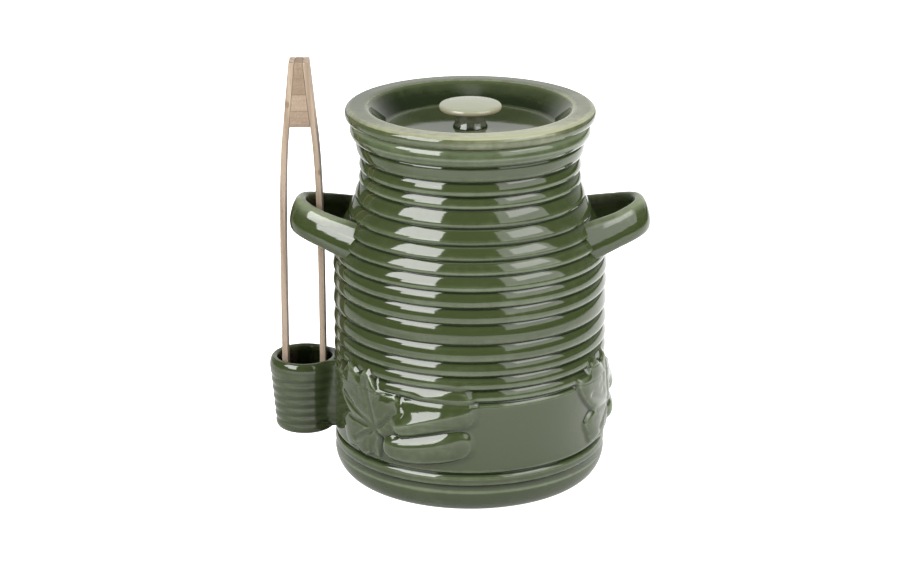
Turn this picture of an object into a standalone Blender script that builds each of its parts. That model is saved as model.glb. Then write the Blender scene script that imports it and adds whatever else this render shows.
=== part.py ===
"""Pickle crock with its lid and wooden tongs.

A ribbed, green-glazed stoneware crock has two strap handles, a cup that holds a pair of wooden
tongs, and three sprigs of cucumber leaf and gherkins in relief round its plain band. Its dished
lid lifts off by a mushroom knob. The two strips of the tongs stand either side of the left strap.

Units are metres and +Z is up. The origin is the centre of the crock's flat dry base. The front
faces -Y, and an azimuth is counted from the front towards +X.
"""
import math

import bmesh
import bpy
from mathutils import Matrix, Vector

# Clearances
SEAT_GAP = 0.0003             # between a piece and what it is fired to, glued to or rests on
BORE_SLACK = 0.0012           # between the lid's locating ring and the crock's mouth, all round
TIP_CLEARANCE = 0.00094       # between the corners of the tongs' tips and the cup's bore
STRAP_CLEARANCE = 0.0019      # between the left strap and the tongs' outer strip

# Crock body, outside
BODY_HEIGHT = 0.2206          # base to rim
BODY_RADIUS = 0.083
NECK_RADIUS = 0.0666
RIM_RADIUS = 0.0735
BASE_RADIUS = 0.072           # flat that the crock stands on
FOOT_HEIGHT = 0.016           # rise of the rounded lower corner
FOOT_END_ANGLE = -8.0         # where that corner's curve stops, short of the upright
FLARE_DEPTH = 0.0251          # rim down to where the neck starts to flare
FLARE_RISE = 0.027            # height over which the neck would flare to the rim's width
NECK_LENGTH = 0.006
SHOULDER_LENGTH = 0.054       # height over which the belly draws in to the neck
RIM_ROUND = 0.0016
RIM_START_ANGLE = 20.0        # where the rim's round takes over from the flare

# Ribs, thrown as rings of slightly uneven pitch
FOOT_GROOVES = (0.0174, 0.0255)
RIB_START = 0.0707            # top of the plain band
COLLAR_HEIGHT = 0.0114        # smooth collar under the rim
COLLAR_STATIONS = (0.17, 0.45, 0.75)  # shares of the collar's height that follow the flare
RIB_PITCHES = (0.8, 0.9, 0.95, 1.17, 1.37, 1.08, 1.05, 1.01, 0.88, 0.9, 0.98, 1.09, 0.8, 0.93, 1.08)
GROOVE_DEPTH = 0.0014
GROOVE_SHOULDER = 0.17        # share of a rib's height where its side turns into its crown
BAND_SHOULDER = 0.05          # the same for the plain band
CROWN_DROP = 0.22             # share of the groove depth that the crown falls at that turn

# Crock body, inside
WALL = 0.0065
FLOOR = 0.008
MOUTH_RADIUS = 0.0645
MOUTH_DEPTH = 0.010           # straight part of the mouth
INNER_CORNER = 0.012
LIP_ROUND = 0.002

# Lid
LID_RADIUS = 0.0748
LID_FLANGE = 0.0079           # thickness of the rim that rests on the crock
LID_EDGE_ROUND = 0.0036
DISH_TOP_RADIUS = 0.0610
DISH_FLOOR_RADIUS = 0.0505
DISH_DEPTH = 0.0133
DISH_LIP_EASE = 0.0022        # how far each rounded corner of the dish runs along its sides
DISH_FLOOR_EASE = 0.0020
LID_FLOOR = 0.0045
RING_HEIGHT = 0.0110          # locating ring below the flange
RING_FOOT = 0.0050            # width of the ring's foot
RING_EASE = 0.0010
RING_SPLAY = 0.0030           # run of the ring's inner side up to the lid's underside

# Knob
KNOB_HEIGHT = 0.0153
KNOB_RADIUS = 0.0188
KNOB_NECK_RADIUS = 0.0087
KNOB_FOOT_RADIUS = 0.0105
KNOB_FOOT_RISE = 0.0035       # height over which the foot draws in to the neck
KNOB_EDGE = 0.0016            # half of the cap's thickness at its edge
KNOB_EDGE_ANGLES = (-50.0, 75.0)
KNOB_CROWN = 0.0006           # rise of the cap's middle over its edge
KNOB_CROWN_SHARE = 0.55       # share of the radius that is nearly flat
KNOB_CAP = 0.0062             # depth of the cap, top to neck
KNOB_CAP_SLOPE = 0.0026       # rise of the cap's underside from the neck out to its edge
KNOB_NECK_EASE = 0.0020

# Handles
HANDLE_AZIMUTH = math.radians(90)
HANDLE_DEPTH = 0.045          # outermost point back to where the legs end inside the wall
HANDLE_HALF_SPAN = 0.0338
HANDLE_SQUARENESS = 2.45       # 2 is a parabola, more is a squarer loop
HANDLE_DROP = 0.0713          # rim down to the middle of the strap's feet
HANDLE_RISE = 0.0134
STRAP_TALL = 0.021
STRAP_THICK = 0.0090
STRAP_SQUARENESS = 2.3        # 2 is an oval section, more is nearer to a rectangle
STRAP_LEAN = math.radians(15) # the strap's top leans in over its loop
STRAP_FLARE = 0.0035          # extra height of the strap where it meets the wall
STRAP_FLARE_START = 0.35      # share of the loop's bend where that flare starts

# Cup for the tongs
CUP_AZIMUTH = math.radians(-92.0)
CUP_BOTTOM = 0.0234
CUP_HEIGHT = 0.0466
CUP_BORE_RADIUS = 0.0165
CUP_WALL = 0.0056
CUP_BACK_WALL = 0.0021        # least wall between the bore and the crock
CUP_FLOOR = 0.005
CUP_FOOT_RADIUS = 0.0150
CUP_FOOT_END_ANGLE = -10.0
CUP_FOOT_LAND = 0.0010        # between the rounded foot and the lowest groove
CUP_TAPER = 0.0040
CUP_RIM_BAND = 0.0095
CUP_GROOVES = 6
CUP_GROOVE_DEPTH = 0.0006
CUP_GROOVE_START = 0.45       # shares of the pitch where a groove starts and is deepest
CUP_GROOVE_LOWEST = 0.75
CUP_RIM_ROUND = 0.0022
CUP_BORE_CORNER = 0.0008
CUP_BORE_OVERRUN = 0.0040     # how far the bore's cutter runs past the rim

# Web that joins the cup to the crock
WEB_HALF_WIDTH = 0.0135
WEB_FOOT_NARROW = 0.0040      # how much narrower the web is at its foot, on each side
WEB_FOOT_START = 0.0040       # above the cup's bottom
WEB_FOOT_END = 0.0120
WEB_TOP_EASE = 0.0010
WEB_TOP_START = 0.0020        # below the cup's rim

# Sprigs of leaf and gherkins
SPRIGS = 3
SPRIG_AZIMUTH = math.radians(-41.5)
SPRIG_HEIGHT = 0.048          # height of the leaf's middle
SPRIG_ROOT = 0.003            # how far each relief reaches in before its back is cut to the wall
LEAF_EDGE = 0.0015            # how far the leaf stands proud at its edge, veins and blade
LEAF_VEIN = 0.0020
LEAF_PUFF = 0.0034
LEAF_RING = 0.55              # share of the way from the leaf's middle to its edge
LEAF_BULGE = 1.08             # how far the edge between a tip and a notch swells outwards
LEAF_TIPS = (
    (0.016, 0.022), (-0.008, 0.035), (-0.024, 0.036), (-0.043, 0.027),
    (-0.036, -0.004), (-0.028, -0.019), (-0.010, -0.021), (0.002, -0.019),
)
LEAF_NOTCHES = (
    (0.001, 0.023), (-0.015, 0.029), (-0.032, 0.026), (-0.026, 0.003),
    (-0.031, -0.012), (-0.018, -0.017), (-0.004, -0.0165), (0.0015, -0.003),
)
GHERKIN_PROUD = 0.0044
GHERKIN_SQUARENESS = 2.5
GHERKIN_BLUNTNESS = 0.55      # less is blunter in outline
GHERKIN_FALL = 0.45           # less is blunter in height
GHERKIN_TRIM = 0.03           # share of the length left off each end, which ends in a small flat
GHERKIN_SWELL = 0.08          # share by which the free end is fatter than the middle
GHERKINS = {
    "upper": {
        "start": (0.0115, 0.0050), "middle": (0.0355, 0.0135), "end": (0.0620, 0.0205),
        "half_height": 0.0108,
    },
    "lower": {
        "start": (0.0050, -0.0095), "middle": (0.0325, -0.0080), "end": (0.0600, -0.0006),
        "half_height": 0.0081,
    },
}

# Tongs
TONG_LENGTH = 0.2266
TONG_WIDTH = 0.016
TONG_THICK = 0.0036
TONG_TOP_HALF = 0.0060        # half of the width over both strips, at the top
TONG_BLOCK_HALF = 0.0099      # the same at the wedge's lower end
TONG_RELAX = 0.028            # length over which the strips settle to their spread at the tips
WEDGE_LENGTH = 0.0393
FLEX_DOWN = 0.080             # top of the tongs to the point where the strips bend
EDGE_EASE = 0.0005

# Facets
BODY_STEPS = 38
FOOT_STEPS = 5
RIM_STEPS = 3
INNER_STEPS = 6
CORNER_STEPS = 4
LID_STEPS = 36
KNOB_STEPS = 20
KNOB_EDGE_STEPS = 5
HANDLE_STATIONS = 12
STRAP_SIDES = 16
CUP_STEPS = 24
GHERKIN_STATIONS = 8
GHERKIN_SIDES = 12
STRIP_STEPS = 8
SHARP_ANGLE = math.radians(35)

# Heights that follow from the sizes above
NECK_END = BODY_HEIGHT - FLARE_DEPTH
NECK_START = NECK_END - NECK_LENGTH
SHOULDER_START = NECK_START - SHOULDER_LENGTH
HANDLE_FOOT = BODY_HEIGHT - HANDLE_DROP
LID_SEAT = BODY_HEIGHT + SEAT_GAP
LID_TOP = LID_SEAT + LID_FLANGE
DISH_FLOOR = LID_TOP - DISH_DEPTH
CUP_RIM = CUP_BOTTOM + CUP_HEIGHT
TONG_TOP = CUP_BOTTOM + CUP_FLOOR + SEAT_GAP + TONG_LENGTH
WEDGE_FOOT = TONG_TOP - WEDGE_LENGTH

# Distances that keep the cup, the tongs and the straps clear of each other
CUP_REACH = BODY_RADIUS + CUP_BACK_WALL + CUP_BORE_RADIUS
TONG_TIP_HALF = math.sqrt((CUP_BORE_RADIUS - TIP_CLEARANCE) ** 2 - (TONG_WIDTH / 2) ** 2)


def clear_scene():
    for item in list(bpy.data.objects):
        bpy.data.objects.remove(item, do_unlink=True)


def make_material(name, colour, roughness):
    material = bpy.data.materials.new(name)
    material.use_nodes = True
    shader = material.node_tree.nodes["Principled BSDF"]
    shader.inputs["Base Color"].default_value = (*colour, 1.0)
    shader.inputs["Roughness"].default_value = roughness
    shader.inputs["Metallic"].default_value = 0.0
    return material


def add_object(name, shape, material):
    """Turn a bmesh into a smooth-shaded object."""
    bmesh.ops.recalc_face_normals(shape, faces=shape.faces)
    mesh = bpy.data.meshes.new(name)
    shape.to_mesh(mesh)
    shape.free()
    mesh.materials.append(material)
    mesh.shade_smooth()
    mesh.set_sharp_from_angle(angle=SHARP_ANGLE)
    item = bpy.data.objects.new(name, mesh)
    bpy.context.scene.collection.objects.link(item)
    return item


def add_cutter(name, shape, material):
    item = add_object(name, shape, material)
    item.hide_render = True
    item.display_type = "WIRE"
    return item


def combine(item, other, operation):
    modifier = item.modifiers.new(operation.title(), "BOOLEAN")
    modifier.operation = operation
    modifier.solver = "EXACT"
    modifier.object = other


def arc(centre, radii, start, end, steps):
    """Points of an elliptical arc in the radius and height plane, both ends included."""
    points = []
    for step in range(steps + 1):
        angle = math.radians(start + (end - start) * step / steps)
        across = centre[0] + radii[0] * math.cos(angle)
        up = centre[1] + radii[1] * math.sin(angle)
        points.append((across, up))
    return points


def eased_corner(before, corner, after, setback):
    """Three points that round a corner, starting and ending a setback away from it."""
    corner = Vector(corner)
    first = corner + (Vector(before) - corner).normalized() * setback
    last = corner + (Vector(after) - corner).normalized() * setback
    middle = (first + corner * 2 + last) / 4
    return [tuple(first), tuple(middle), tuple(last)]


def turned(profile, steps):
    """Spin a profile of (radius, height) points, which starts and ends on the axis, round Z."""
    shape = bmesh.new()
    points = [shape.verts.new((radius, 0.0, height)) for radius, height in profile]
    edges = [shape.edges.new(pair) for pair in zip(points, points[1:])]
    bmesh.ops.spin(shape, geom=points + edges, cent=(0, 0, 0), axis=(0, 0, 1), angle=math.tau,
                   steps=steps, use_merge=True)
    bmesh.ops.remove_doubles(shape, verts=shape.verts, dist=1e-6)
    return shape


def loft(rings):
    """Skin closed rings of points in order and cap both ends."""
    shape = bmesh.new()
    skins = [[shape.verts.new(point) for point in ring] for ring in rings]
    count = len(skins[0])
    for lower, upper in zip(skins, skins[1:]):
        for index in range(count):
            after = (index + 1) % count
            shape.faces.new((lower[index], lower[after], upper[after], upper[index]))
    shape.faces.new(reversed(skins[0]))
    shape.faces.new(skins[-1])
    return shape


def oblong(half_width, half_height, squareness, count):
    """A rounded section: squareness 2 is an ellipse, and more is nearer to a rectangle."""
    power = 2.0 / squareness
    points = []
    for index in range(count):
        angle = math.tau * index / count
        across, up = math.cos(angle), math.sin(angle)
        points.append((half_width * math.copysign(abs(across) ** power, across),
                       half_height * math.copysign(abs(up) ** power, up)))
    return points


def between(first, second, share):
    """Point on the line from one (across, up) point to another."""
    return (first[0] + (second[0] - first[0]) * share, first[1] + (second[1] - first[1]) * share)


def smooth_step(value):
    value = min(1.0, max(0.0, value))
    return value * value * (3.0 - 2.0 * value)


def polar(radius, azimuth, height):
    """World point at an azimuth that is counted from the front (-Y) towards +X."""
    return Vector((radius * math.sin(azimuth), -radius * math.cos(azimuth), height))


# Crock body

def crest_radius(height):
    """Radius over the ribs' crowns: belly, shoulder, neck and flared rim."""
    shoulder = smooth_step((height - SHOULDER_START) / SHOULDER_LENGTH)
    flare = smooth_step((height - NECK_END) / FLARE_RISE)
    drawn_in = (NECK_RADIUS - BODY_RADIUS) * shoulder
    flared_out = (RIM_RADIUS - NECK_RADIUS) * flare
    return BODY_RADIUS + drawn_in + flared_out


def groove_heights():
    """Every groove from the foot to the collar."""
    heights = [*FOOT_GROOVES, RIB_START]
    span = BODY_HEIGHT - COLLAR_HEIGHT - RIB_START
    for pitch in RIB_PITCHES:
        heights.append(heights[-1] + span * pitch / sum(RIB_PITCHES))
    return heights


def ribbed_wall(gap):
    """Outer wall from the base's edge up to the collar, moved out by a gap."""
    foot_radii = (BODY_RADIUS - BASE_RADIUS, FOOT_HEIGHT)
    wall = arc((BASE_RADIUS, FOOT_HEIGHT), foot_radii, -90, FOOT_END_ANGLE, FOOT_STEPS)
    grooves = groove_heights()
    for low, high in zip(grooves, grooves[1:]):
        wall.append((crest_radius(low) - GROOVE_DEPTH, low))
        plain_band = high == RIB_START
        side = BAND_SHOULDER if plain_band else GROOVE_SHOULDER
        drop = 0.0 if plain_band else GROOVE_DEPTH * CROWN_DROP
        for share, fall in ((side, drop), (0.5, 0.0), (1.0 - side, drop)):
            height = low + (high - low) * share
            wall.append((crest_radius(height) - fall, height))
    collar = grooves[-1]
    wall.append((crest_radius(collar) - GROOVE_DEPTH, collar))
    for share in COLLAR_STATIONS:
        height = collar + COLLAR_HEIGHT * share
        wall.append((crest_radius(height), height))
    return [(radius + gap, height) for radius, height in wall]


def inner_wall():
    """Inner wall from the rim down to the floor's middle."""
    lip_centre = (MOUTH_RADIUS + LIP_ROUND, BODY_HEIGHT - LIP_ROUND)
    wall = arc(lip_centre, (LIP_ROUND, LIP_ROUND), 90, 180, RIM_STEPS)
    wall.append((MOUTH_RADIUS, BODY_HEIGHT - MOUTH_DEPTH))
    for step in range(INNER_STEPS + 1):
        height = NECK_END + (SHOULDER_START - NECK_END) * step / INNER_STEPS
        wall.append((crest_radius(height) - WALL, height))
    corner_centre = (BODY_RADIUS - WALL - INNER_CORNER, FLOOR + INNER_CORNER)
    wall += arc(corner_centre, (INNER_CORNER, INNER_CORNER), 0, -90, CORNER_STEPS)
    wall.append((0.0, FLOOR))
    return wall


def make_crock_body(glaze):
    rim_centre = (RIM_RADIUS - RIM_ROUND, BODY_HEIGHT - RIM_ROUND)
    rim = arc(rim_centre, (RIM_ROUND, RIM_ROUND), RIM_START_ANGLE, 90, RIM_STEPS)
    profile = [(0.0, 0.0)] + ribbed_wall(0.0) + rim + inner_wall()
    return add_object("crock_body", turned(profile, BODY_STEPS), glaze)


def make_wall_cutter(glaze):
    """The crock's outline with a seat gap round it, which trims whatever is fired to the wall."""
    wall = ribbed_wall(SEAT_GAP)
    foot = [(0.0, -FOOT_HEIGHT), (BASE_RADIUS, -FOOT_HEIGHT)]
    head = [(wall[-1][0], BODY_HEIGHT), (0.0, BODY_HEIGHT)]
    return add_cutter("wall_cutter", turned(foot + wall + head, BODY_STEPS), glaze)


# Lid and knob

def make_lid(glaze):
    """A dished lid: flat flange, locating ring below it, and a round dish sunk in its top."""
    ring_radius = MOUTH_RADIUS - BORE_SLACK
    ring_inner = ring_radius - RING_FOOT
    ring_foot = LID_SEAT - RING_HEIGHT
    under = DISH_FLOOR - LID_FLOOR
    edge_centre = LID_RADIUS - LID_EDGE_ROUND
    edge_radii = (LID_EDGE_ROUND, LID_EDGE_ROUND)
    dish_lip = (DISH_TOP_RADIUS, LID_TOP)
    dish_corner = (DISH_FLOOR_RADIUS, DISH_FLOOR)
    dish_middle = (0.0, DISH_FLOOR)

    profile = [(0.0, under), (ring_inner - RING_SPLAY, under), (ring_inner, ring_foot)]
    profile += eased_corner((ring_inner, ring_foot), (ring_radius, ring_foot),
                            (ring_radius, LID_SEAT), RING_EASE)
    profile.append((ring_radius, LID_SEAT))
    profile += arc((edge_centre, LID_SEAT + LID_EDGE_ROUND), edge_radii, -90, 0, CORNER_STEPS)
    profile += arc((edge_centre, LID_TOP - LID_EDGE_ROUND), edge_radii, 0, 90, CORNER_STEPS)
    profile += eased_corner((LID_RADIUS, LID_TOP), dish_lip, dish_corner, DISH_LIP_EASE)
    profile += eased_corner(dish_lip, dish_corner, dish_middle, DISH_FLOOR_EASE)
    profile.append(dish_middle)
    return add_object("lid", turned(profile, LID_STEPS), glaze)


def make_knob(glaze):
    """A mushroom knob: flared foot, short neck and a thin, slightly domed cap."""
    foot = DISH_FLOOR + SEAT_GAP
    top = foot + KNOB_HEIGHT
    neck_low = (KNOB_NECK_RADIUS, foot + KNOB_FOOT_RISE)
    neck_high = (KNOB_NECK_RADIUS, top - KNOB_CAP)
    edge_centre = (KNOB_RADIUS - KNOB_EDGE, top - KNOB_CROWN - KNOB_EDGE)
    cap_under = (edge_centre[0], neck_high[1] + KNOB_CAP_SLOPE)

    profile = [(0.0, foot), (KNOB_FOOT_RADIUS, foot)]
    profile += eased_corner((KNOB_FOOT_RADIUS, foot), neck_low, neck_high, KNOB_NECK_EASE)
    profile += eased_corner(neck_low, neck_high, cap_under, KNOB_NECK_EASE)
    profile += arc(edge_centre, (KNOB_EDGE, KNOB_EDGE), *KNOB_EDGE_ANGLES, KNOB_EDGE_STEPS)
    profile += [(KNOB_RADIUS * KNOB_CROWN_SHARE, top - KNOB_CROWN / 4), (0.0, top)]
    return add_object("lid_knob", turned(profile, KNOB_STEPS), glaze)


# Handles

def strap_section(half_tall):
    """Points outwards and up round a strap's section, whose top leans in over its loop."""
    lean_in, stand_up = math.sin(STRAP_LEAN), math.cos(STRAP_LEAN)
    section = oblong(STRAP_THICK / 2, half_tall, STRAP_SQUARENESS, STRAP_SIDES)
    return [(x * stand_up - z * lean_in, x * lean_in + z * stand_up) for x, z in section]


def handle_reach():
    """Crock's axis to the middle of a strap, so that the tongs' outer strip clears the left one."""
    strap_top = HANDLE_FOOT + HANDLE_RISE + STRAP_TALL / 2
    strip_face = CUP_REACH + strip_half_distance(strap_top) - TONG_THICK
    outermost = max(x for x, z in strap_section(STRAP_TALL / 2))
    return strip_face - STRAP_CLEARANCE - outermost


def make_handle(name, azimuth, glaze, wall_cutter):
    """A strap loop that rises towards its outermost point, with legs that end inside the wall."""
    outward = polar(1.0, azimuth, 0.0)
    along = Vector((0, 0, 1)).cross(outward)
    rings = []
    for step in range(HANDLE_STATIONS + 1):
        share = 2.0 * step / HANDLE_STATIONS - 1.0
        bend = abs(share) ** HANDLE_SQUARENESS
        steepness = HANDLE_SQUARENESS * abs(share) ** (HANDLE_SQUARENESS - 1)
        slope_out = -HANDLE_DEPTH * math.copysign(steepness, share)
        path = (outward * slope_out + along * HANDLE_HALF_SPAN).normalized()
        across = path.cross(Vector((0, 0, 1)))
        centre = outward * (handle_reach() - HANDLE_DEPTH * bend)
        centre += along * HANDLE_HALF_SPAN * share
        centre.z = HANDLE_FOOT + HANDLE_RISE * (1.0 - bend)
        half_tall = STRAP_TALL / 2 + STRAP_FLARE * max(0.0, bend - STRAP_FLARE_START)
        rings.append([centre + across * x + Vector((0, 0, z)) for x, z in strap_section(half_tall)])
    handle = add_object(name, loft(rings), glaze)
    combine(handle, wall_cutter, "DIFFERENCE")
    return handle


# Cup for the tongs

def cup_wall_radius(height):
    """The cup tapers in from its rim to its foot."""
    return CUP_BORE_RADIUS + CUP_WALL - CUP_TAPER * (CUP_RIM - height) / CUP_HEIGHT


def cup_profile():
    """Outside of the cup from the middle of its foot to the middle of its rim."""
    corner = cup_wall_radius(CUP_BOTTOM) - CUP_FOOT_RADIUS
    corner_centre = (CUP_FOOT_RADIUS, CUP_BOTTOM + corner)
    profile = [(0.0, CUP_BOTTOM)]
    profile += arc(corner_centre, (corner, corner), -90, CUP_FOOT_END_ANGLE, CORNER_STEPS)
    grooves_low = CUP_BOTTOM + corner + CUP_FOOT_LAND
    grooves_high = CUP_RIM - CUP_RIM_BAND
    pitch = (grooves_high - grooves_low) / CUP_GROOVES
    for index in range(CUP_GROOVES):
        low = grooves_low + pitch * index
        crown = low + pitch * CUP_GROOVE_START
        lowest = low + pitch * CUP_GROOVE_LOWEST
        profile.append((cup_wall_radius(low), low))
        profile.append((cup_wall_radius(crown), crown))
        profile.append((cup_wall_radius(lowest) - CUP_GROOVE_DEPTH, lowest))
    profile.append((cup_wall_radius(grooves_high), grooves_high))
    rim_centre = (cup_wall_radius(CUP_RIM) - CUP_RIM_ROUND, CUP_RIM - CUP_RIM_ROUND)
    profile += arc(rim_centre, (CUP_RIM_ROUND, CUP_RIM_ROUND), 0, 90, RIM_STEPS)
    profile.append((0.0, CUP_RIM))
    return profile


def make_cup_web(place, glaze):
    """A block from the cup's middle into the crock's wall, narrower at its foot."""
    reach = CUP_REACH - BODY_RADIUS + WALL / 2
    stations = (
        (CUP_BOTTOM + WEB_FOOT_START, WEB_FOOT_NARROW),
        (CUP_BOTTOM + WEB_FOOT_END, 0.0),
        (CUP_RIM - WEB_TOP_START, 0.0),
        (CUP_RIM, WEB_TOP_EASE),
    )
    rings = []
    for height, narrow in stations:
        side = WEB_HALF_WIDTH - narrow
        corners = ((0, -side), (-reach, -side), (-reach, side), (0, side))
        rings.append([Vector((x, y, height)) for x, y in corners])
    web = add_cutter("cup_web", loft(rings), glaze)
    web.matrix_world = place
    return web


def make_cup_bore(place, glaze):
    floor = CUP_BOTTOM + CUP_FLOOR
    above = CUP_RIM + CUP_BORE_OVERRUN
    middle = (0.0, floor)
    corner = (CUP_BORE_RADIUS, floor)
    lip = (CUP_BORE_RADIUS, CUP_RIM)
    outside = (CUP_BORE_RADIUS + CUP_WALL, CUP_RIM)
    profile = [middle]
    profile += eased_corner(middle, corner, lip, CUP_BORE_CORNER)
    profile += eased_corner(corner, lip, outside, CUP_RIM_ROUND)
    profile += [(profile[-1][0], above), (0.0, above)]
    bore = add_cutter("cup_bore", turned(profile, CUP_STEPS), glaze)
    bore.matrix_world = place
    return bore


def make_cup(glaze, wall_cutter):
    """A tapered cup with shallow grooves, joined to the crock by a short web and bored last."""
    turn = Matrix.Rotation(CUP_AZIMUTH - math.pi / 2, 4, "Z")
    place = Matrix.Translation(polar(CUP_REACH, CUP_AZIMUTH, 0.0)) @ turn
    cup = add_object("tong_cup", turned(cup_profile(), CUP_STEPS), glaze)
    cup.matrix_world = place
    combine(cup, make_cup_web(place, glaze), "UNION")
    combine(cup, make_cup_bore(place, glaze), "DIFFERENCE")
    combine(cup, wall_cutter, "DIFFERENCE")
    return cup


# Sprigs in relief

def on_wall(azimuth, across, up, proud):
    """Point on the belly: across and up in metres from the leaf's middle, proud of the wall."""
    return polar(BODY_RADIUS + proud, azimuth + across / BODY_RADIUS, SPRIG_HEIGHT + up)


def leaf_outline():
    """Each tip, each notch and the swollen edge between them, with the blade's height inside it."""
    outline = []
    for index, tip in enumerate(LEAF_TIPS):
        before = LEAF_NOTCHES[index - 1]
        after = LEAF_NOTCHES[index]
        rising = between(before, tip, 0.5)
        falling = between(tip, after, 0.5)
        outline.append((rising[0] * LEAF_BULGE, rising[1] * LEAF_BULGE, LEAF_PUFF))
        outline.append((tip[0], tip[1], LEAF_VEIN))
        outline.append((falling[0] * LEAF_BULGE, falling[1] * LEAF_BULGE, LEAF_PUFF))
        outline.append((after[0], after[1], LEAF_PUFF))
    return outline


def make_leaf(name, azimuth, glaze, wall_cutter):
    """A lobed cucumber leaf: veins run sunken to the tips and the blade puffs up between them."""
    shape = bmesh.new()
    edge = []
    back = []
    ring = []
    for across, up, proud in leaf_outline():
        inner = between((0.0, 0.0), (across, up), LEAF_RING)
        edge.append(shape.verts.new(on_wall(azimuth, across, up, LEAF_EDGE)))
        back.append(shape.verts.new(on_wall(azimuth, across, up, -SPRIG_ROOT)))
        ring.append(shape.verts.new(on_wall(azimuth, inner[0], inner[1], proud)))
    middle = shape.verts.new(on_wall(azimuth, 0.0, 0.0, LEAF_VEIN))
    back_middle = shape.verts.new(on_wall(azimuth, 0.0, 0.0, -SPRIG_ROOT))
    for index in range(len(edge)):
        after = (index + 1) % len(edge)
        shape.faces.new((middle, ring[index], ring[after]))
        shape.faces.new((ring[index], edge[index], edge[after], ring[after]))
        shape.faces.new((edge[index], back[index], back[after], edge[after]))
        shape.faces.new((back_middle, back[after], back[index]))
    leaf = add_object(name, shape, glaze)
    combine(leaf, wall_cutter, "DIFFERENCE")
    return leaf


def make_gherkin(name, azimuth, form, glaze, wall_cutter):
    """A gherkin that lies along the belly on a bent line, with its back cut to the wall."""
    start, middle, end = form["start"], form["middle"], form["end"]
    handle = between(between(start, end, 0.5), middle, 2.0)
    rings = []
    for step in range(GHERKIN_STATIONS + 1):
        part = GHERKIN_TRIM + (1.0 - 2.0 * GHERKIN_TRIM) * step / GHERKIN_STATIONS
        roundness = math.sin(math.pi * part)
        share = (1.0 - math.cos(math.pi * part)) / 2
        first = between(start, handle, share)
        second = between(handle, end, share)
        place = between(first, second, share)
        path = Vector((second[0] - first[0], second[1] - first[1])).normalized()
        swell = 1.0 + GHERKIN_SWELL * (2.0 * share - 1.0)
        half = form["half_height"] * swell * roundness ** GHERKIN_BLUNTNESS
        proud = GHERKIN_PROUD * roundness ** GHERKIN_FALL
        ring = []
        for reach, depth in oblong(half, 1.0, GHERKIN_SQUARENESS, GHERKIN_SIDES):
            across = place[0] - path.y * reach
            up = place[1] + path.x * reach
            rise = proud if depth > 0 else SPRIG_ROOT
            ring.append(on_wall(azimuth, across, up, rise * depth))
        rings.append(ring)
    gherkin = add_object(name, loft(rings), glaze)
    combine(gherkin, wall_cutter, "DIFFERENCE")
    return gherkin


# Tongs

def strip_half_distance(height):
    """Half of the width over both strips at a height."""
    if height >= WEDGE_FOOT:
        share = (height - WEDGE_FOOT) / WEDGE_LENGTH
        return TONG_BLOCK_HALF + (TONG_TOP_HALF - TONG_BLOCK_HALF) * share
    fade = math.exp(-(WEDGE_FOOT - height) / TONG_RELAX)
    return TONG_TIP_HALF + (TONG_BLOCK_HALF - TONG_TIP_HALF) * fade


def make_strip(name, side, low, high, pivot, wood):
    """A stretch of one wooden strip; side is -1 for the left strip and 1 for the right."""
    centre = polar(CUP_REACH, CUP_AZIMUTH, 0.0)
    half_width = TONG_WIDTH / 2
    rings = []
    for step in range(STRIP_STEPS + 1):
        height = low + (high - low) * step / STRIP_STEPS
        outer = side * strip_half_distance(height)
        inner = outer - side * TONG_THICK
        corners = ((outer, -half_width), (inner, -half_width), (inner, half_width), (outer, half_width))
        rings.append([centre + Vector((x, y, height)) - pivot for x, y in corners])
    strip = add_object(name, loft(rings), wood)
    strip.location = pivot
    ease = strip.modifiers.new("Eased edges", "BEVEL")
    ease.width = EDGE_EASE
    ease.segments = 1
    ease.limit_method = "ANGLE"
    ease.angle_limit = SHARP_ANGLE
    return strip


def make_wedge(wood):
    """The glued wedge between the strips' upper ends."""
    centre = polar(CUP_REACH, CUP_AZIMUTH, 0.0)
    half_width = TONG_WIDTH / 2
    rings = []
    for height in (WEDGE_FOOT, TONG_TOP):
        half = strip_half_distance(height) - TONG_THICK - SEAT_GAP
        corners = ((-half, -half_width), (half, -half_width), (half, half_width), (-half, half_width))
        rings.append([centre + Vector((x, y, height)) for x, y in corners])
    return add_object("tongs_wedge", loft(rings), wood)


def make_tongs(wood):
    """Two strips glued to a wedge; each strip bends at one point below the wedge."""
    foot = TONG_TOP - TONG_LENGTH
    flex = TONG_TOP - FLEX_DOWN
    for side, word in ((-1, "left"), (1, "right")):
        pivot = polar(CUP_REACH, CUP_AZIMUTH, flex)
        pivot.x += side * (strip_half_distance(flex) - TONG_THICK / 2)
        make_strip(word + "_arm_root", side, flex + SEAT_GAP / 2, TONG_TOP, pivot, wood)
        make_strip(word + "_arm_blade", side, foot, flex - SEAT_GAP / 2, pivot, wood)
    make_wedge(wood)


def main():
    clear_scene()
    glaze = make_material("green_glaze", (0.11, 0.15, 0.085), 0.12)
    pale_glaze = make_material("pale_green_glaze", (0.33, 0.36, 0.22), 0.12)
    wood = make_material("bare_wood", (0.58, 0.42, 0.29), 0.65)
    wall_cutter = make_wall_cutter(glaze)
    make_crock_body(glaze)
    make_handle("left_handle", -HANDLE_AZIMUTH, glaze, wall_cutter)
    make_handle("right_handle", HANDLE_AZIMUTH, glaze, wall_cutter)
    make_cup(glaze, wall_cutter)
    for index, place in enumerate(("front", "right", "back")[:SPRIGS]):
        azimuth = SPRIG_AZIMUTH + math.tau * index / SPRIGS
        make_leaf(place + "_leaf", azimuth, glaze, wall_cutter)
        for which, form in GHERKINS.items():
            make_gherkin(place + "_" + which + "_gherkin", azimuth, form, glaze, wall_cutter)
    make_lid(pale_glaze)
    make_knob(pale_glaze)
    make_tongs(wood)


main()
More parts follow.
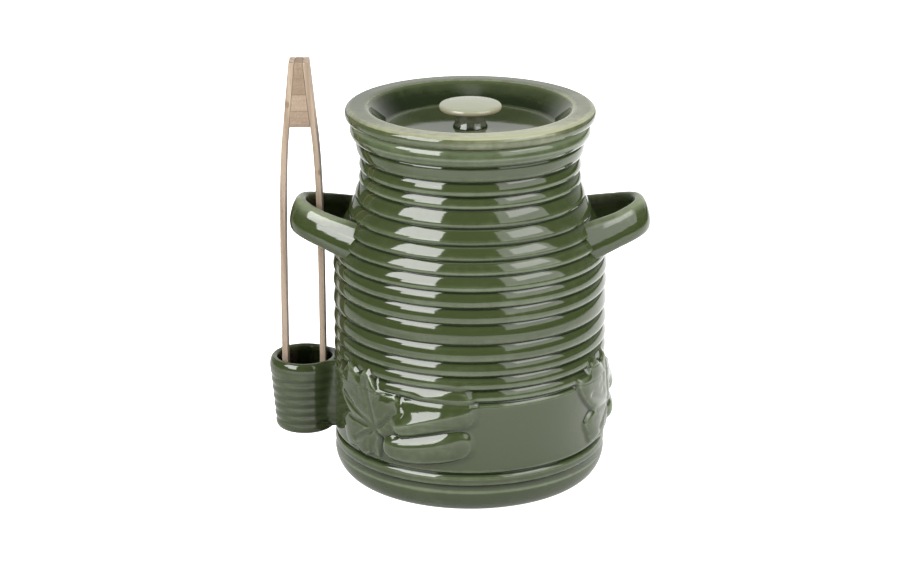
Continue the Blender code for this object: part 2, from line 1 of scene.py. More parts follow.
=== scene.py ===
"""Looks of the pickle crock: green-glazed stoneware with relief sprigs, and bare wooden tongs.

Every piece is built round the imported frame, in metres, and stands for the plain solid of the same
part. +Z is up, the front faces -Y, and an azimuth is counted from the front towards +X.
"""
import math

import bmesh
import bpy
import numpy as np
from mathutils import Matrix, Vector


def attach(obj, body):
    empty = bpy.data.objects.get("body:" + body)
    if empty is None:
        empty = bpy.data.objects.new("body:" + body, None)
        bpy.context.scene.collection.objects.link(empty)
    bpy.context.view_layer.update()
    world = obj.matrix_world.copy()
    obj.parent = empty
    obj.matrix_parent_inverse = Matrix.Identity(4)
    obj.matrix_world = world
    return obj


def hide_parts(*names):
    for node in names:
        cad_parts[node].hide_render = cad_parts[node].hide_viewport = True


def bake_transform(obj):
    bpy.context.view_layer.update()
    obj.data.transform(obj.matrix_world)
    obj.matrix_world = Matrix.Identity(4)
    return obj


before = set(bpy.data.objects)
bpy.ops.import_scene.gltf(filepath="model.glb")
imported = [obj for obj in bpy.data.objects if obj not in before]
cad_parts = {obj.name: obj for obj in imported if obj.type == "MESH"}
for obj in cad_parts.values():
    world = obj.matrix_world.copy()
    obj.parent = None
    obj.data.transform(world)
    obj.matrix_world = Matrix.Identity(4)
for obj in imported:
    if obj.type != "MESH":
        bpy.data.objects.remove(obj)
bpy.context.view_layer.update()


# Camera
# A long lens straight in front of the crock, looking down on it, with the crock a little right of
# the middle of the picture.

CAMERA_PLACE = (-0.0121, -1.447, 0.6082)
CAMERA_TILT = math.radians(71.24)
CAMERA_LENS = 100.5

scene = bpy.context.scene
link = scene.collection.objects.link
camera = bpy.data.objects.new("camera", bpy.data.cameras.new("camera"))
camera.location = CAMERA_PLACE
camera.rotation_euler = (CAMERA_TILT, 0.0, 0.0)
camera.data.lens = CAMERA_LENS
link(camera)
scene.camera = camera


# Studio
# A white sheet on the floor that ends in a dark room, with softboxes standing either side of the
# camera. Only these show in the glaze, for the side and back fills light the piece unseen.

FLOOR_HALF = 6.0
WHITE = (1.0, 1.0, 1.0, 1.0)
BLACK = (0.0, 0.0, 0.0, 1.0)
SHEET_WHITE = (0.5, 0.5, 0.5, 1.0)
SHEET_ROUGHNESS = 0.9
SHEET_GLOW = 1.25
SHEET_FRONT = (-3.2, -0.8)  # where it fades into the dark
SHEET_SIDE = (0.65, 1.3)  # and to either side
SHEET_BACK = (0.15, 0.75)  # how bright it is behind, on the left and right
SHEET_BACK_MEET = (-0.25, 0.25)  # where left turns into right
SHEET_BACK_FADE = (-0.36, -0.06)  # where the sheet at the back starts
FOOT_SHADE = (0.08, 0.17)  # radii over which the crock's painted shadow on the glowing sheet fades
FOOT_SHADE_LIGHT = 0.36  # share of the light left in it
ROOM_DARK = 0.1
ROOM_PALE = 0.85  # wall behind the crock
ROOM_TURN = (0.3, 0.95)  # how far back the dark turns into it
SOFTBOX_DISTANCE = 1.5
SOFTBOXES = {  # azimuth in degrees, lower and upper edge, width, glow
    "left_softbox": (-52.0, 0.62, 2.15, 1.26, 11.5),
    "left_softbox_foot": (-43.0, 0.38, 0.62, 0.78, 11.5),
    "right_softbox": (55.0, 0.32, 2.15, 1.5, 3.0),
    "right_inner_softbox": (58.0, 0.92, 1.7, 0.95, 4.2),
    "front_softbox": (0.0, 2.6, 3.6, 3.0, 1.1),
    "side_fill": (84.0, 0.3, 1.9, 1.6, 4.5),
    "back_fill": (176.0, 0.3, 1.7, 2.0, 2.4),
}
UNSEEN_FILLS = ("side_fill", "back_fill")


def put(tree, kind, inputs=None, **settings):
    """Add a shader node. An input given as a socket is linked, and any other value is set."""
    node = tree.nodes.new("ShaderNode" + kind)
    for name, value in settings.items():
        setattr(node, name, value)
    for name, value in (inputs or {}).items():
        if isinstance(value, bpy.types.NodeSocket):
            tree.links.new(value, node.inputs[name])
        else:
            node.inputs[name].default_value = value
    return node


def calculate(tree, operation, first, second=0.0, third=0.0):
    """A Math node's result."""
    return put(tree, "Math", {0: first, 1: second, 2: third}, operation=operation).outputs[0]


def spread(tree, value, low, high, start=0.0, end=1.0):
    """Map a value that runs from low to high onto start to end, with soft ends."""
    inputs = {"Value": value, "From Min": low, "From Max": high, "To Min": start, "To Max": end}
    return put(tree, "MapRange", inputs, interpolation_type="SMOOTHSTEP").outputs["Result"]


def new_material(name):
    """Material with nodes, given with its node tree and its shader."""
    material = bpy.data.materials.new(name)
    material.use_nodes = True
    return material, material.node_tree, material.node_tree.nodes["Principled BSDF"]


def own_place(tree):
    """Place in the piece's own space."""
    return put(tree, "TexCoord").outputs["Object"]


def mixed(tree, share, first, second):
    """Colour between two others."""
    inputs = {0: share, 6: first, 7: second}
    return put(tree, "Mix", inputs, data_type="RGBA").outputs[2]


floor_mesh = bpy.data.meshes.new("studio_floor")
square = ((-1, -1), (1, -1), (1, 1), (-1, 1))
floor_corners = [(x * FLOOR_HALF, y * FLOOR_HALF, 0.0) for x, y in square]
floor_mesh.from_pydata(floor_corners, [], [(0, 1, 2, 3)])
floor = bpy.data.objects.new("studio_floor", floor_mesh)
link(floor)
floor_paint, tree, floor_shader = new_material("white_sheet")
place = own_place(tree)
from_crock = put(tree, "VectorMath", {0: place}, operation="LENGTH").outputs["Value"]
place = put(tree, "SeparateXYZ", {0: place})
aside = calculate(tree, "ABSOLUTE", place.outputs["X"])
# Painted light: the sheet glows, and the glaze sees that glow fade to dark at the front, the sides
# and the back.
sheet = spread(tree, place.outputs["Y"], *SHEET_FRONT)
sheet = calculate(tree, "MULTIPLY", sheet, spread(tree, aside, *SHEET_SIDE, 1.0, 0.0))
behind = spread(tree, place.outputs["X"], *SHEET_BACK_MEET, *SHEET_BACK)
backwards = spread(tree, place.outputs["Y"], *SHEET_BACK_FADE, 1.0, behind)
# Painted shadow: the crock's shade is painted into the sheet's glow round its foot.
shaded = spread(tree, from_crock, *FOOT_SHADE, FOOT_SHADE_LIGHT, 1.0)
glow = calculate(tree, "MULTIPLY", calculate(tree, "MULTIPLY", sheet, backwards), shaded)
# These fades show in the glaze alone, for the sheet itself is seen white from every side.
in_sight = put(tree, "LightPath").outputs["Is Camera Ray"]
glow = calculate(tree, "MAXIMUM", glow, in_sight)
sheet = calculate(tree, "MAXIMUM", sheet, in_sight)
tree.links.new(mixed(tree, sheet, BLACK, SHEET_WHITE), floor_shader.inputs["Base Color"])
tree.links.new(mixed(tree, glow, BLACK, WHITE), floor_shader.inputs["Emission Color"])
floor_shader.inputs["Emission Strength"].default_value = SHEET_GLOW
floor_shader.inputs["Roughness"].default_value = SHEET_ROUGHNESS
floor_shader.inputs["Specular IOR Level"].default_value = 0.0
floor_mesh.materials.append(floor_paint)

for name, (azimuth, low, high, width, glow) in SOFTBOXES.items():
    lamp = bpy.data.lights.new(name, "AREA")
    lamp.shape = "RECTANGLE"
    lamp.size = width
    lamp.size_y = high - low
    lamp.energy = glow * math.pi * lamp.size * lamp.size_y
    softbox = bpy.data.objects.new(name, lamp)
    azimuth = math.radians(azimuth)
    outward = Vector((math.sin(azimuth), -math.cos(azimuth), 0.0))
    softbox.location = outward * SOFTBOX_DISTANCE
    softbox.location.z = (low + high) / 2
    softbox.rotation_euler = outward.to_track_quat("Z", "Y").to_euler()
    softbox.visible_camera = False
    softbox.visible_glossy = name not in UNSEEN_FILLS
    link(softbox)

world = bpy.data.worlds.new("studio_room")
world.use_nodes = True
scene.world = world
tree = world.node_tree
direction = put(tree, "SeparateXYZ", {0: put(tree, "TexCoord").outputs["Generated"]})
room = spread(tree, direction.outputs["Y"], *ROOM_TURN, ROOM_DARK, ROOM_PALE)
in_sight = put(tree, "LightPath").outputs["Is Camera Ray"]
brightness = calculate(tree, "MAXIMUM", room, in_sight)
tree.links.new(brightness, tree.nodes["Background"].inputs["Strength"])
tree.nodes["Background"].inputs["Color"].default_value = WHITE
scene.view_settings.view_transform = "Standard"


# Crock wall
# Thrown stoneware with ribs of slightly uneven pitch over a plain band, dipped in a green glaze
# that pools dark in the grooves and thins on the edges. The dry base shows the bare clay.

BODY_HEIGHT = 0.2206
BODY_RADIUS = 0.083
NECK_RADIUS = 0.0666
RIM_RADIUS = 0.0735
BASE_RADIUS = 0.072
FOOT_HEIGHT = 0.016
NECK_END = BODY_HEIGHT - 0.0251
NECK_START = NECK_END - 0.006
SHOULDER_START = NECK_START - 0.054
FLARE_RISE = 0.027
RIM_BEAD = (0.0026, 0.0062)  # inwards and down
FOOT_GROOVES = (0.0174, 0.0255)
RIB_START = 0.0707
COLLAR_HEIGHT = 0.0114
RIB_PITCHES = (0.8, 0.9, 0.95, 1.17, 1.37, 1.08, 1.05, 1.01, 0.88, 0.9, 0.98, 1.09, 0.8, 0.93, 1.08)
RIB_DROP = 0.0016  # from a rib's crown to its sides
SHOULDER_SOFTER = 0.45  # share of that drop that the shoulder lacks
RIB_CROWN = 0.34  # where the crown lies between two grooves
RIB_ROUNDNESS = (2.2, 1.6)  # below the crown and above it; more is flatter
BAND_REACH = 0.0034  # rounding of the plain band's edges
GROOVE_CUT = 0.0005  # the tool's narrow cut between two ribs
GROOVE_WIDTH = 0.001
WALL = 0.0065
FLOOR = 0.008
MOUTH_RADIUS = 0.0645
MOUTH_DEPTH = 0.01
INNER_CORNER = 0.012
LIP_ROUND = 0.002
FOOT_END_ANGLE = -6.0  # where the foot's curve meets the wall
CORNER_START_ANGLE = -8.0  # where the inner wall meets the floor's corner
WALL_COLUMNS = 720
FOOT_ROWS = 22
BAND_ROWS = 76
RIB_ROWS = 15
COLLAR_ROWS = 16
RIM_ROWS = 14
INNER_ROWS = {"lip": 7, "neck": 5, "wall": 40, "corner": 10, "floor": 8}
DRY_BASE = 0.0705  # radius of the wiped, unglazed base
DRY_BASE_RING = 0.012  # width of its outermost ring of faces

EVEN_COAT = 0.5  # how thick the glaze lies: 0 is an edge that it ran off, 1 a pool
FULL_GLAZE = (0.0265, 0.0362, 0.012, 1.0)
THIN_GLAZE = (0.083, 0.103, 0.059, 1.0)
POOLED_GLAZE = (0.0085, 0.013, 0.0045, 1.0)
BARE_CLAY = (0.42, 0.34, 0.25, 1.0)
THIN_UP_TO = 0.46  # thickness at which the thin colour has gone
POOLED_FROM = 0.52  # and the pooled one starts
GLAZE_DRIFT = (26.0, 0.34)  # scale of the coat's unevenness, and its amount
GLAZE_MOTTLE = (210.0, 0.16)
GLAZE_LINES = (9.0, 0.16)  # the same along the lines that throwing left
LINES_STRETCH = (1.0, 1.0, 62.0)
SPECK_SCALE = 330.0
SPECK_EDGE = (0.1, 0.05)  # share of a cell at which one starts, and is full
SPECK_RARITY = (0.93, 0.97)  # share of the cells without one
SPECK_STRENGTH = 0.55
GRIT_SCALE = 1900.0
GRIT_TONE = (0.35, 0.82)  # contrast of the clay's grit, and its darkest tone
DRY_WANDER = 0.5  # how much the mottle moves the clay's edge
DRY_EDGE = (0.42, 0.58)
GLAZE_ROUGHNESS = 0.07
ROUGHNESS_DRIFT = 0.05
CLAY_ROUGHNESS = 0.85
GLAZE_IOR = 1.5
GLAZE_BUMP = 0.00012  # height of the relief, made up of these shares
RIPPLE = (70.0, 0.7)  # scale and share
PEEL = (420.0, 0.05)
LINES_SHARE = 0.22
GRIT_SHARE = 0.5


def up_shoulder(height):
    """How far up the shoulder a height lies, from 0 to 1."""
    return np.clip((height - SHOULDER_START) / (NECK_START - SHOULDER_START), 0.0, 1.0)


def crest_radius(height):
    """Radius over the ribs' crowns: belly, shoulder, neck and flared rim."""
    shoulder = up_shoulder(height)
    flare = np.clip((height - NECK_END) / FLARE_RISE, 0.0, 1.0)
    drawn_in = (NECK_RADIUS - BODY_RADIUS) * shoulder ** 2 * (3.0 - 2.0 * shoulder)
    flared_out = (RIM_RADIUS - NECK_RADIUS) * flare ** 2 * (3.0 - 2.0 * flare)
    return BODY_RADIUS + drawn_in + flared_out


def groove_heights():
    """Every groove from the foot to the collar."""
    span = BODY_HEIGHT - COLLAR_HEIGHT - RIB_START
    climb = np.cumsum(RIB_PITCHES) / sum(RIB_PITCHES)
    return np.concatenate([FOOT_GROOVES, [RIB_START], RIB_START + span * climb])


def groove_depth(height):
    """How deep the surface lies below the crowns at a height."""
    grooves = groove_heights()
    above = np.clip(np.searchsorted(grooves, height), 1, len(grooves) - 1)
    low, high = grooves[above - 1], grooves[above]
    nearest = np.minimum(np.abs(height - low), np.abs(high - height))
    share = (height - low) / (high - low)
    upper = share > RIB_CROWN
    from_crown = share - RIB_CROWN
    from_crown = np.where(upper, from_crown / (1.0 - RIB_CROWN), -from_crown / RIB_CROWN)
    rib = np.clip(from_crown, 0.0, 1.0) ** np.where(upper, RIB_ROUNDNESS[1], RIB_ROUNDNESS[0])
    plain = np.clip(1.0 - nearest / BAND_REACH, 0.0, 1.0) ** RIB_ROUNDNESS[0]
    sides = np.where((low < RIB_START) | (share > 1.0), plain, rib)
    drop = RIB_DROP * (1.0 - SHOULDER_SOFTER * np.sin(math.pi * up_shoulder(height)))
    return drop * sides + GROOVE_CUT * np.exp(-nearest / GROOVE_WIDTH)


def arc(centre, radii, start, end, count):
    """Points of an arc in the radius and height plane. Two radii make it elliptical."""
    angle = np.radians(np.linspace(start, end, count))
    radii = np.broadcast_to(radii, 2)
    return np.stack([centre[0] + radii[0] * np.cos(angle), centre[1] + radii[1] * np.sin(angle)], 1)


def line(start, end, count):
    """Evenly spaced points between two others, without the last."""
    return np.linspace(start, end, count, endpoint=False)


def outer_profile():
    """Foot, ribs and collar, from the base's edge to the rim."""
    foot_radii = (BODY_RADIUS - BASE_RADIUS, FOOT_HEIGHT)
    foot = arc((BASE_RADIUS, FOOT_HEIGHT), foot_radii, -90, FOOT_END_ANGLE, FOOT_ROWS)
    grooves = groove_heights()
    heights = []
    for low, high in zip(grooves, grooves[1:]):
        share = line(0.0, 1.0, BAND_ROWS)
        if high != RIB_START:
            share = (1.0 - np.cos(np.pi * np.arange(RIB_ROWS) / RIB_ROWS)) / 2
        heights.append(low + (high - low) * share)
    bead_start = BODY_HEIGHT - RIM_BEAD[1]
    heights = np.concatenate(heights + [line(grooves[-1], bead_start, COLLAR_ROWS)])
    wall = np.stack([crest_radius(heights) - groove_depth(heights), heights], 1)
    bead_centre = (crest_radius(bead_start) - RIM_BEAD[0], bead_start)
    rim = arc(bead_centre, RIM_BEAD, 0, 90, RIM_ROWS)
    return np.concatenate([foot, wall, rim])


def inner_profile():
    """Inner wall from the rim down to the floor."""
    lip_centre = (MOUTH_RADIUS + LIP_ROUND, BODY_HEIGHT - LIP_ROUND)
    lip = arc(lip_centre, LIP_ROUND, 90, 180, INNER_ROWS["lip"])
    neck_top = (MOUTH_RADIUS, BODY_HEIGHT - MOUTH_DEPTH)
    neck = line(neck_top, (NECK_RADIUS - WALL, NECK_END), INNER_ROWS["neck"])
    heights = np.linspace(NECK_END, FLOOR + INNER_CORNER, INNER_ROWS["wall"])
    wall = np.stack([crest_radius(heights) - WALL, heights], 1)
    centre = (BODY_RADIUS - WALL - INNER_CORNER, FLOOR + INNER_CORNER)
    corner = arc(centre, INNER_CORNER, CORNER_START_ANGLE, -90, INNER_ROWS["corner"])
    floor_line = line((centre[0], FLOOR), (0.0, FLOOR), INNER_ROWS["floor"])[1:]
    return np.concatenate([lip, neck, wall, corner, floor_line])


def turned(profile, columns):
    """Grid of points, rows along the profile and columns round Z, that starts at the front."""
    azimuth = np.arange(columns) * math.tau / columns
    radius = profile[:, :1]
    height = np.repeat(profile[:, 1:], columns, 1)
    return np.stack([radius * np.sin(azimuth), -radius * np.cos(azimuth), height], 2)


def all_points(grid):
    """Points of a grid, and then the middles of its two ends."""
    return np.concatenate([grid.reshape(-1, 3), [grid[0].mean(0)], [grid[-1].mean(0)]])


def skin(name, grid, thickness=None, dry=0.0):
    """Closed mesh over a grid whose columns wrap round, with its ends closed by a fan of triangles.

    Glazed pieces say for each grid point how thick the glaze lies and how dry the clay is.
    """
    rows, columns = grid.shape[:2]
    index = np.arange(rows * columns).reshape(rows, columns)
    after = np.roll(index, -1, 1)
    sides = np.stack([index[:-1], after[:-1], after[1:], index[1:]], 2).reshape(-1, 4)
    first, last = rows * columns, rows * columns + 1
    faces = sides.tolist()
    faces += [(first, b, a) for a, b in zip(index[0].tolist(), after[0].tolist())]
    faces += [(last, a, b) for a, b in zip(index[-1].tolist(), after[-1].tolist())]
    mesh = bpy.data.meshes.new(name)
    mesh.from_pydata(all_points(grid).tolist(), [], faces)
    shape = bmesh.new()
    shape.from_mesh(mesh)
    if shape.calc_volume(signed=True) < 0:
        bmesh.ops.reverse_faces(shape, faces=shape.faces)
    shape.to_mesh(mesh)
    shape.free()
    mesh.shade_smooth()
    for key, values in (("thickness", thickness), ("dry", dry)):
        if thickness is not None:
            values = np.broadcast_to(values, (rows, columns))
            flat = np.concatenate([values.ravel(), [values[0].mean(), values[-1].mean()]])
            attribute = mesh.attributes.new(key, "FLOAT", "POINT")
            attribute.data.foreach_set("value", flat.astype(np.float32))
    piece = bpy.data.objects.new(name, mesh)
    link(piece)
    return piece


def noise(tree, scale, detail, stretch=(1.0, 1.0, 1.0)):
    """Noise in the piece's own space, with features about 1 / scale metres across."""
    place = put(tree, "Mapping", {"Vector": own_place(tree), "Scale": stretch}).outputs[0]
    inputs = {"Vector": place, "Scale": scale, "Detail": detail}
    return put(tree, "TexNoise", inputs).outputs["Fac"]


def add_up(tree, total, *parts):
    """A value with others added to it, each times its amount."""
    for value, amount in parts:
        total = calculate(tree, "MULTIPLY_ADD", value, amount, total)
    return total


def centred(tree, value):
    """Noise moved down so that it lies round zero."""
    return calculate(tree, "SUBTRACT", value, 0.5)


# The glaze over the clay, which every glazed piece shares.
tree = glaze_group = bpy.data.node_groups.new("glaze_over_clay", "ShaderNodeTree")
for way, kind, sockets in (
        ("INPUT", "Float", "Thickness Dry"), ("INPUT", "Color", "Thin Full Pooled Clay"),
        ("OUTPUT", "Color", "Color"), ("OUTPUT", "Float", "Roughness Height")):
    for socket in sockets.split():
        tree.interface.new_socket(socket, in_out=way, socket_type="NodeSocket" + kind)
glaze_in = tree.nodes.new("NodeGroupInput").outputs
glaze_out = tree.nodes.new("NodeGroupOutput").inputs
drift = noise(tree, GLAZE_DRIFT[0], 3.0)
mottle = noise(tree, GLAZE_MOTTLE[0], 3.0)
throwing_lines = noise(tree, GLAZE_LINES[0], 2.0, LINES_STRETCH)
thickness = add_up(tree, glaze_in["Thickness"], (centred(tree, drift), GLAZE_DRIFT[1]),
                   (centred(tree, mottle), GLAZE_MOTTLE[1]),
                   (centred(tree, throwing_lines), GLAZE_LINES[1]))
coat = mixed(tree, spread(tree, thickness, 0.0, THIN_UP_TO), glaze_in["Thin"], glaze_in["Full"])
coat = mixed(tree, spread(tree, thickness, POOLED_FROM, 1.0), coat, glaze_in["Pooled"])
specks = put(tree, "TexVoronoi", {"Vector": own_place(tree), "Scale": SPECK_SCALE})
speck = spread(tree, specks.outputs["Distance"], *SPECK_EDGE)
chance = put(tree, "SeparateColor", {0: specks.outputs["Color"]}).outputs[0]
rare = spread(tree, chance, *SPECK_RARITY, 0.0, SPECK_STRENGTH)
speck = calculate(tree, "MULTIPLY", speck, rare)
coat = mixed(tree, speck, coat, glaze_in["Pooled"])
grit = noise(tree, GRIT_SCALE, 3.0)
clay_tone = calculate(tree, "MULTIPLY_ADD", grit, *GRIT_TONE)
clay = {0: glaze_in["Clay"], "Scale": clay_tone}
clay = put(tree, "VectorMath", clay, operation="SCALE").outputs[0]
dry = add_up(tree, glaze_in["Dry"], (centred(tree, mottle), DRY_WANDER))
dry = spread(tree, dry, *DRY_EDGE)
tree.links.new(mixed(tree, dry, coat, clay), glaze_out["Color"])
gloss = add_up(tree, GLAZE_ROUGHNESS - ROUGHNESS_DRIFT / 2, (mottle, ROUGHNESS_DRIFT))
tree.links.new(spread(tree, dry, 0.0, 1.0, gloss, CLAY_ROUGHNESS), glaze_out["Roughness"])
ripple = noise(tree, RIPPLE[0], 1.0)
peel = noise(tree, PEEL[0], 2.0)
bare_grit = calculate(tree, "MULTIPLY", grit, dry)
height = add_up(tree, 0.0, (ripple, RIPPLE[1]), (peel, PEEL[1]), (throwing_lines, LINES_SHARE),
                (bare_grit, GRIT_SHARE))
tree.links.new(height, glaze_out["Height"])


def dress(tree, shader, colour, roughness, relief, tall, strength=1.0):
    """Give a shader its colour, its roughness, and a relief that stands so tall."""
    bump = put(tree, "Bump", {"Height": relief, "Distance": tall, "Strength": strength})
    tree.links.new(colour, shader.inputs["Base Color"])
    tree.links.new(roughness, shader.inputs["Roughness"])
    tree.links.new(bump.outputs["Normal"], shader.inputs["Normal"])


def glazed(name, thin=THIN_GLAZE, full=FULL_GLAZE):
    """Glazed stoneware. The piece's own thickness and dry values say where the glaze lies."""
    material, tree, shader = new_material(name)
    lies = put(tree, "Attribute", attribute_name="thickness").outputs["Fac"]
    dry = put(tree, "Attribute", attribute_name="dry").outputs["Fac"]
    inputs = {"Thickness": lies, "Dry": dry, "Thin": thin, "Full": full, "Pooled": POOLED_GLAZE,
              "Clay": BARE_CLAY}
    coat = put(tree, "Group", inputs, node_tree=glaze_group).outputs
    dress(tree, shader, coat["Color"], coat["Roughness"], coat["Height"], GLAZE_BUMP)
    shader.inputs["IOR"].default_value = GLAZE_IOR
    return material


outside = outer_profile()
base_ring = [(DRY_BASE - DRY_BASE_RING, 0.0), (DRY_BASE, 0.0)]
wall_profile = np.concatenate([base_ring, outside, inner_profile()])
wall_grid = turned(wall_profile, WALL_COLUMNS)
dry_base = np.zeros((len(wall_profile), 1))
dry_base[:len(base_ring)] = 1.0
wall = skin("crock_wall", wall_grid, EVEN_COAT, dry_base)
green_glaze = glazed("green_glaze")
wall.data.materials.append(green_glaze)
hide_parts("crock_body")
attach(wall, "crock")


# Sprigs
# Three sprigs of cucumber leaf and two gherkins, pressed in a mould and luted to the band before
# glazing, so the glaze softens their edges and gathers dark round them and in the veins.

SPRIGS = 3
SPRIG_AZIMUTH = math.radians(-41.5)
SPRIG_HEIGHT = 0.048
SPRIG_PATCH = (0.075, 0.045)  # half width and half height of its patch of wall
LEAF_EDGE = (0.0013, 0.0018)  # height of its cut edge, and how far in that is rounded
LEAF_PUFF = 0.0019  # how much further the lobes stand proud
LEAF_VEIN_DEPTH = 0.001
LEAF_VEIN_REACH = 0.002
LEAF_SIDE_VEIN = 0.35  # depth of the side veins, as a share
LEAF_SIDE_SPAN = (0.4, 0.72)  # where they start and end, along the main one
LEAF_SIDE_LEAN = 0.42  # how far it leans out
LEAF_ROLL = 0.011  # distance from the edge at which a lobe is fully puffed
LEAF_TOOTH = 0.0008
LEAF_TEETH = 7.5
LEAF_STEPS = 1440  # points round its outline
LEAF_ROUNDING = 30  # points to either side that round a corner
LEAF_TIPS = (
    (0.016, 0.022), (-0.008, 0.035), (-0.024, 0.036), (-0.043, 0.027),
    (-0.036, -0.004), (-0.028, -0.019), (-0.01, -0.021), (0.002, -0.019),
)
LEAF_NOTCHES = (
    (0.001, 0.023), (-0.015, 0.029), (-0.032, 0.026), (-0.026, 0.003),
    (-0.031, -0.012), (-0.018, -0.017), (-0.004, -0.0165), (0.0015, -0.003),
)
LEAF_VEINS = (
    (-0.0085, 0.0285), (-0.0285, 0.013), (-0.022, 0.0015), (0.014, 0.012),
    (0.004, -0.015), (-0.017, -0.0115),
)
GHERKIN_PROUD = 0.0048
GHERKIN_THINNER = 0.3  # share lost from its middle to its far end
GHERKIN_SWELL = 0.08
GHERKIN_END = 6.5  # more is a blunter end
GHERKIN_SIDE = 2.3  # more is a fuller side
GHERKIN_CROWN = 2.0  # more is a flatter crown
GHERKIN_FALL = 0.5  # more is a softer edge
GHERKIN_SLOPE = 1.25  # above a low crown, how it flattens outwards
GHERKIN_RIDGE = 0.07  # and how round the crown is
GHERKIN_RIM = 6.0  # and how near the rim its edge falls
GHERKIN_OVERRUN = 0.25  # how far its line runs on past both ends
GHERKIN_STEPS = 25  # points along that line
GHERKINS = (  # points of the bent line, half its height, and how low its crown lies
    (((0.0115, 0.005), (0.0355, 0.0135), (0.062, 0.0205)), 0.0114, 0.2),
    (((0.005, -0.0095), (0.0325, -0.008), (0.06, -0.0006)), 0.0087, 0.0),
)
LEAF_FILLET = 0.002  # how far the leaf's foot is rounded into the wall
GHERKIN_FILLET = 0.0036  # and then each gherkin's
POOL_DEPTH = 0.00046  # hollow at which the glaze has fully pooled
THIN_RISE = 0.00045  # crown at which it has fully thinned
POOL_REACH = 0.0017  # how far above and below a hollow is judged
POOL_PLACES = (-1.0, -0.5, 0.0, 0.5, 1.0)  # where within that reach
POOL_COLUMNS = (1, -1, 2, -2)  # columns to either side that count as well
SPRIG_THIN = 0.1  # how much thinner the glaze lies on the sprigs
RUN_OFF = 0.3  # how much of it has run off the rim


def from_segment(across, up, start, end):
    """Distance from a segment, and how far along it the nearest point lies."""
    run, across, up = end - start, across - start[0], up - start[1]
    share = np.clip((across * run[0] + up * run[1]) / (run @ run), 0.0, 1.0)
    return np.hypot(across - share * run[0], up - share * run[1]), share


def leaf_height(across, up):
    """Height of the leaf over the belly: lobes that puff up between sunken, branching veins."""
    x, y = np.stack([LEAF_TIPS, LEAF_NOTCHES], 1).reshape(-1, 2).T
    turn, length = np.unwrap(np.arctan2(y, x)), np.hypot(x, y)
    fine = np.linspace(turn[0], turn[0] + math.tau, LEAF_STEPS + 1)
    edge = np.interp(fine, np.append(turn, turn[0] + math.tau), np.append(length, length[0]))
    soft = np.hanning(2 * LEAF_ROUNDING + 1)
    edge = np.concatenate([edge[-LEAF_ROUNDING - 1:-1], edge, edge[1:LEAF_ROUNDING + 1]])
    edge = np.convolve(edge, soft / soft.sum(), "valid")
    distance = np.hypot(across, up)
    angle = turn[0] + np.mod(np.arctan2(up, across) - turn[0], math.tau)
    reach = np.interp(angle, fine, edge)
    tooth = LEAF_TOOTH * (1.0 - np.abs(np.cos(angle * LEAF_TEETH)))
    within = reach + tooth - distance
    puffed = np.clip(within / LEAF_ROLL, 0.0, 1.0)
    sunk = np.zeros_like(distance)
    for tip in LEAF_VEINS:
        tip = np.array(tip)
        fork, side_end = LEAF_SIDE_SPAN[0] * tip, LEAF_SIDE_SPAN[1] * tip
        lean = np.array((-tip[1], tip[0])) * LEAF_SIDE_LEAN
        for start, end, depth in ((0.0 * tip, tip, 1.0), (fork, side_end + lean, LEAF_SIDE_VEIN),
                                  (fork, side_end - lean, LEAF_SIDE_VEIN)):
            gap = from_segment(across, up, start, end)[0]
            sunk = np.maximum(sunk, depth * np.exp(-(gap / LEAF_VEIN_REACH) ** 2))
    cut = np.sin(np.clip(within / LEAF_EDGE[1], 0.0, 1.0) * math.pi / 2)
    lobes = (LEAF_PUFF - LEAF_VEIN_DEPTH * sunk) * np.sin(puffed * math.pi / 2)
    return np.where(puffed > 0.0, LEAF_EDGE[0] * cut + lobes, within)


def gherkin_height(across, up, line_points, half_height, crown_low):
    """Height of a gherkin over the belly: a blunt, steep-sided form along a bent line."""
    start, middle, end = np.array(line_points)
    bend = 2.0 * middle - (start + end) / 2
    share = np.linspace(-GHERKIN_OVERRUN, 1.0 + GHERKIN_OVERRUN, GHERKIN_STEPS)[:, None]
    path = (1 - share) ** 2 * start + 2 * share * (1 - share) * bend + share ** 2 * end
    gap, along, above = np.ones(across.shape), np.zeros(across.shape), np.zeros(across.shape)
    for low, high, low_share, high_share in zip(path, path[1:], share[:, 0], share[1:, 0]):
        run = high - low
        here, held = from_segment(across, up, low, high)
        along_here = 2.0 * (low_share + held * (high_share - low_share)) - 1.0
        above_here = run[0] * (up - low[1]) - run[1] * (across - low[0])
        along = np.where(here < gap, along_here, along)
        above = np.where(here < gap, above_here, above)
        gap = np.minimum(gap, here)
    half = half_height * (1.0 + GHERKIN_SWELL * along)
    crown = -crown_low
    offset = np.sign(above) * gap / half
    upper, lower = (offset - crown) / (1.0 - crown), (crown - offset) / (1.0 + crown)
    from_crown = np.where(offset > crown, upper, lower)
    part = (np.abs(along) ** GHERKIN_END + from_crown ** GHERKIN_SIDE) ** (1.0 / GHERKIN_SIDE)
    proud = GHERKIN_PROUD * (1.0 - GHERKIN_THINNER * np.clip(along, -1.0, 1.0))
    rise = proud * np.clip(1.0 - part ** GHERKIN_CROWN, 0.0, 1.0) ** GHERKIN_FALL
    if crown_low:
        ridge = np.sqrt(from_crown ** 2 + GHERKIN_RIDGE ** 2) - GHERKIN_RIDGE
        slope = np.clip(1.0 - ridge, 0.0, 1.0) ** GHERKIN_SLOPE
        belly = np.sqrt(np.clip(1.0 - from_crown ** 2, 0.0, 1.0))
        ends = np.sqrt(np.clip(1.0 - np.abs(along) ** GHERKIN_END, 0.0, 1.0))
        rim = np.sqrt(np.clip(1.0 - part ** GHERKIN_RIM, 0.0, 1.0))
        rise = proud * np.where(offset > crown, slope, belly) * ends * rim
    return np.where(part < 1.0, rise, half * (1.0 - part))


def soft_maximum(first, second, reach):
    """The larger of two heights, with the corner between them rounded."""
    overlap = np.clip(reach - np.abs(first - second), 0.0, None)
    return np.maximum(first, second) + overlap ** 2 / (4.0 * reach)


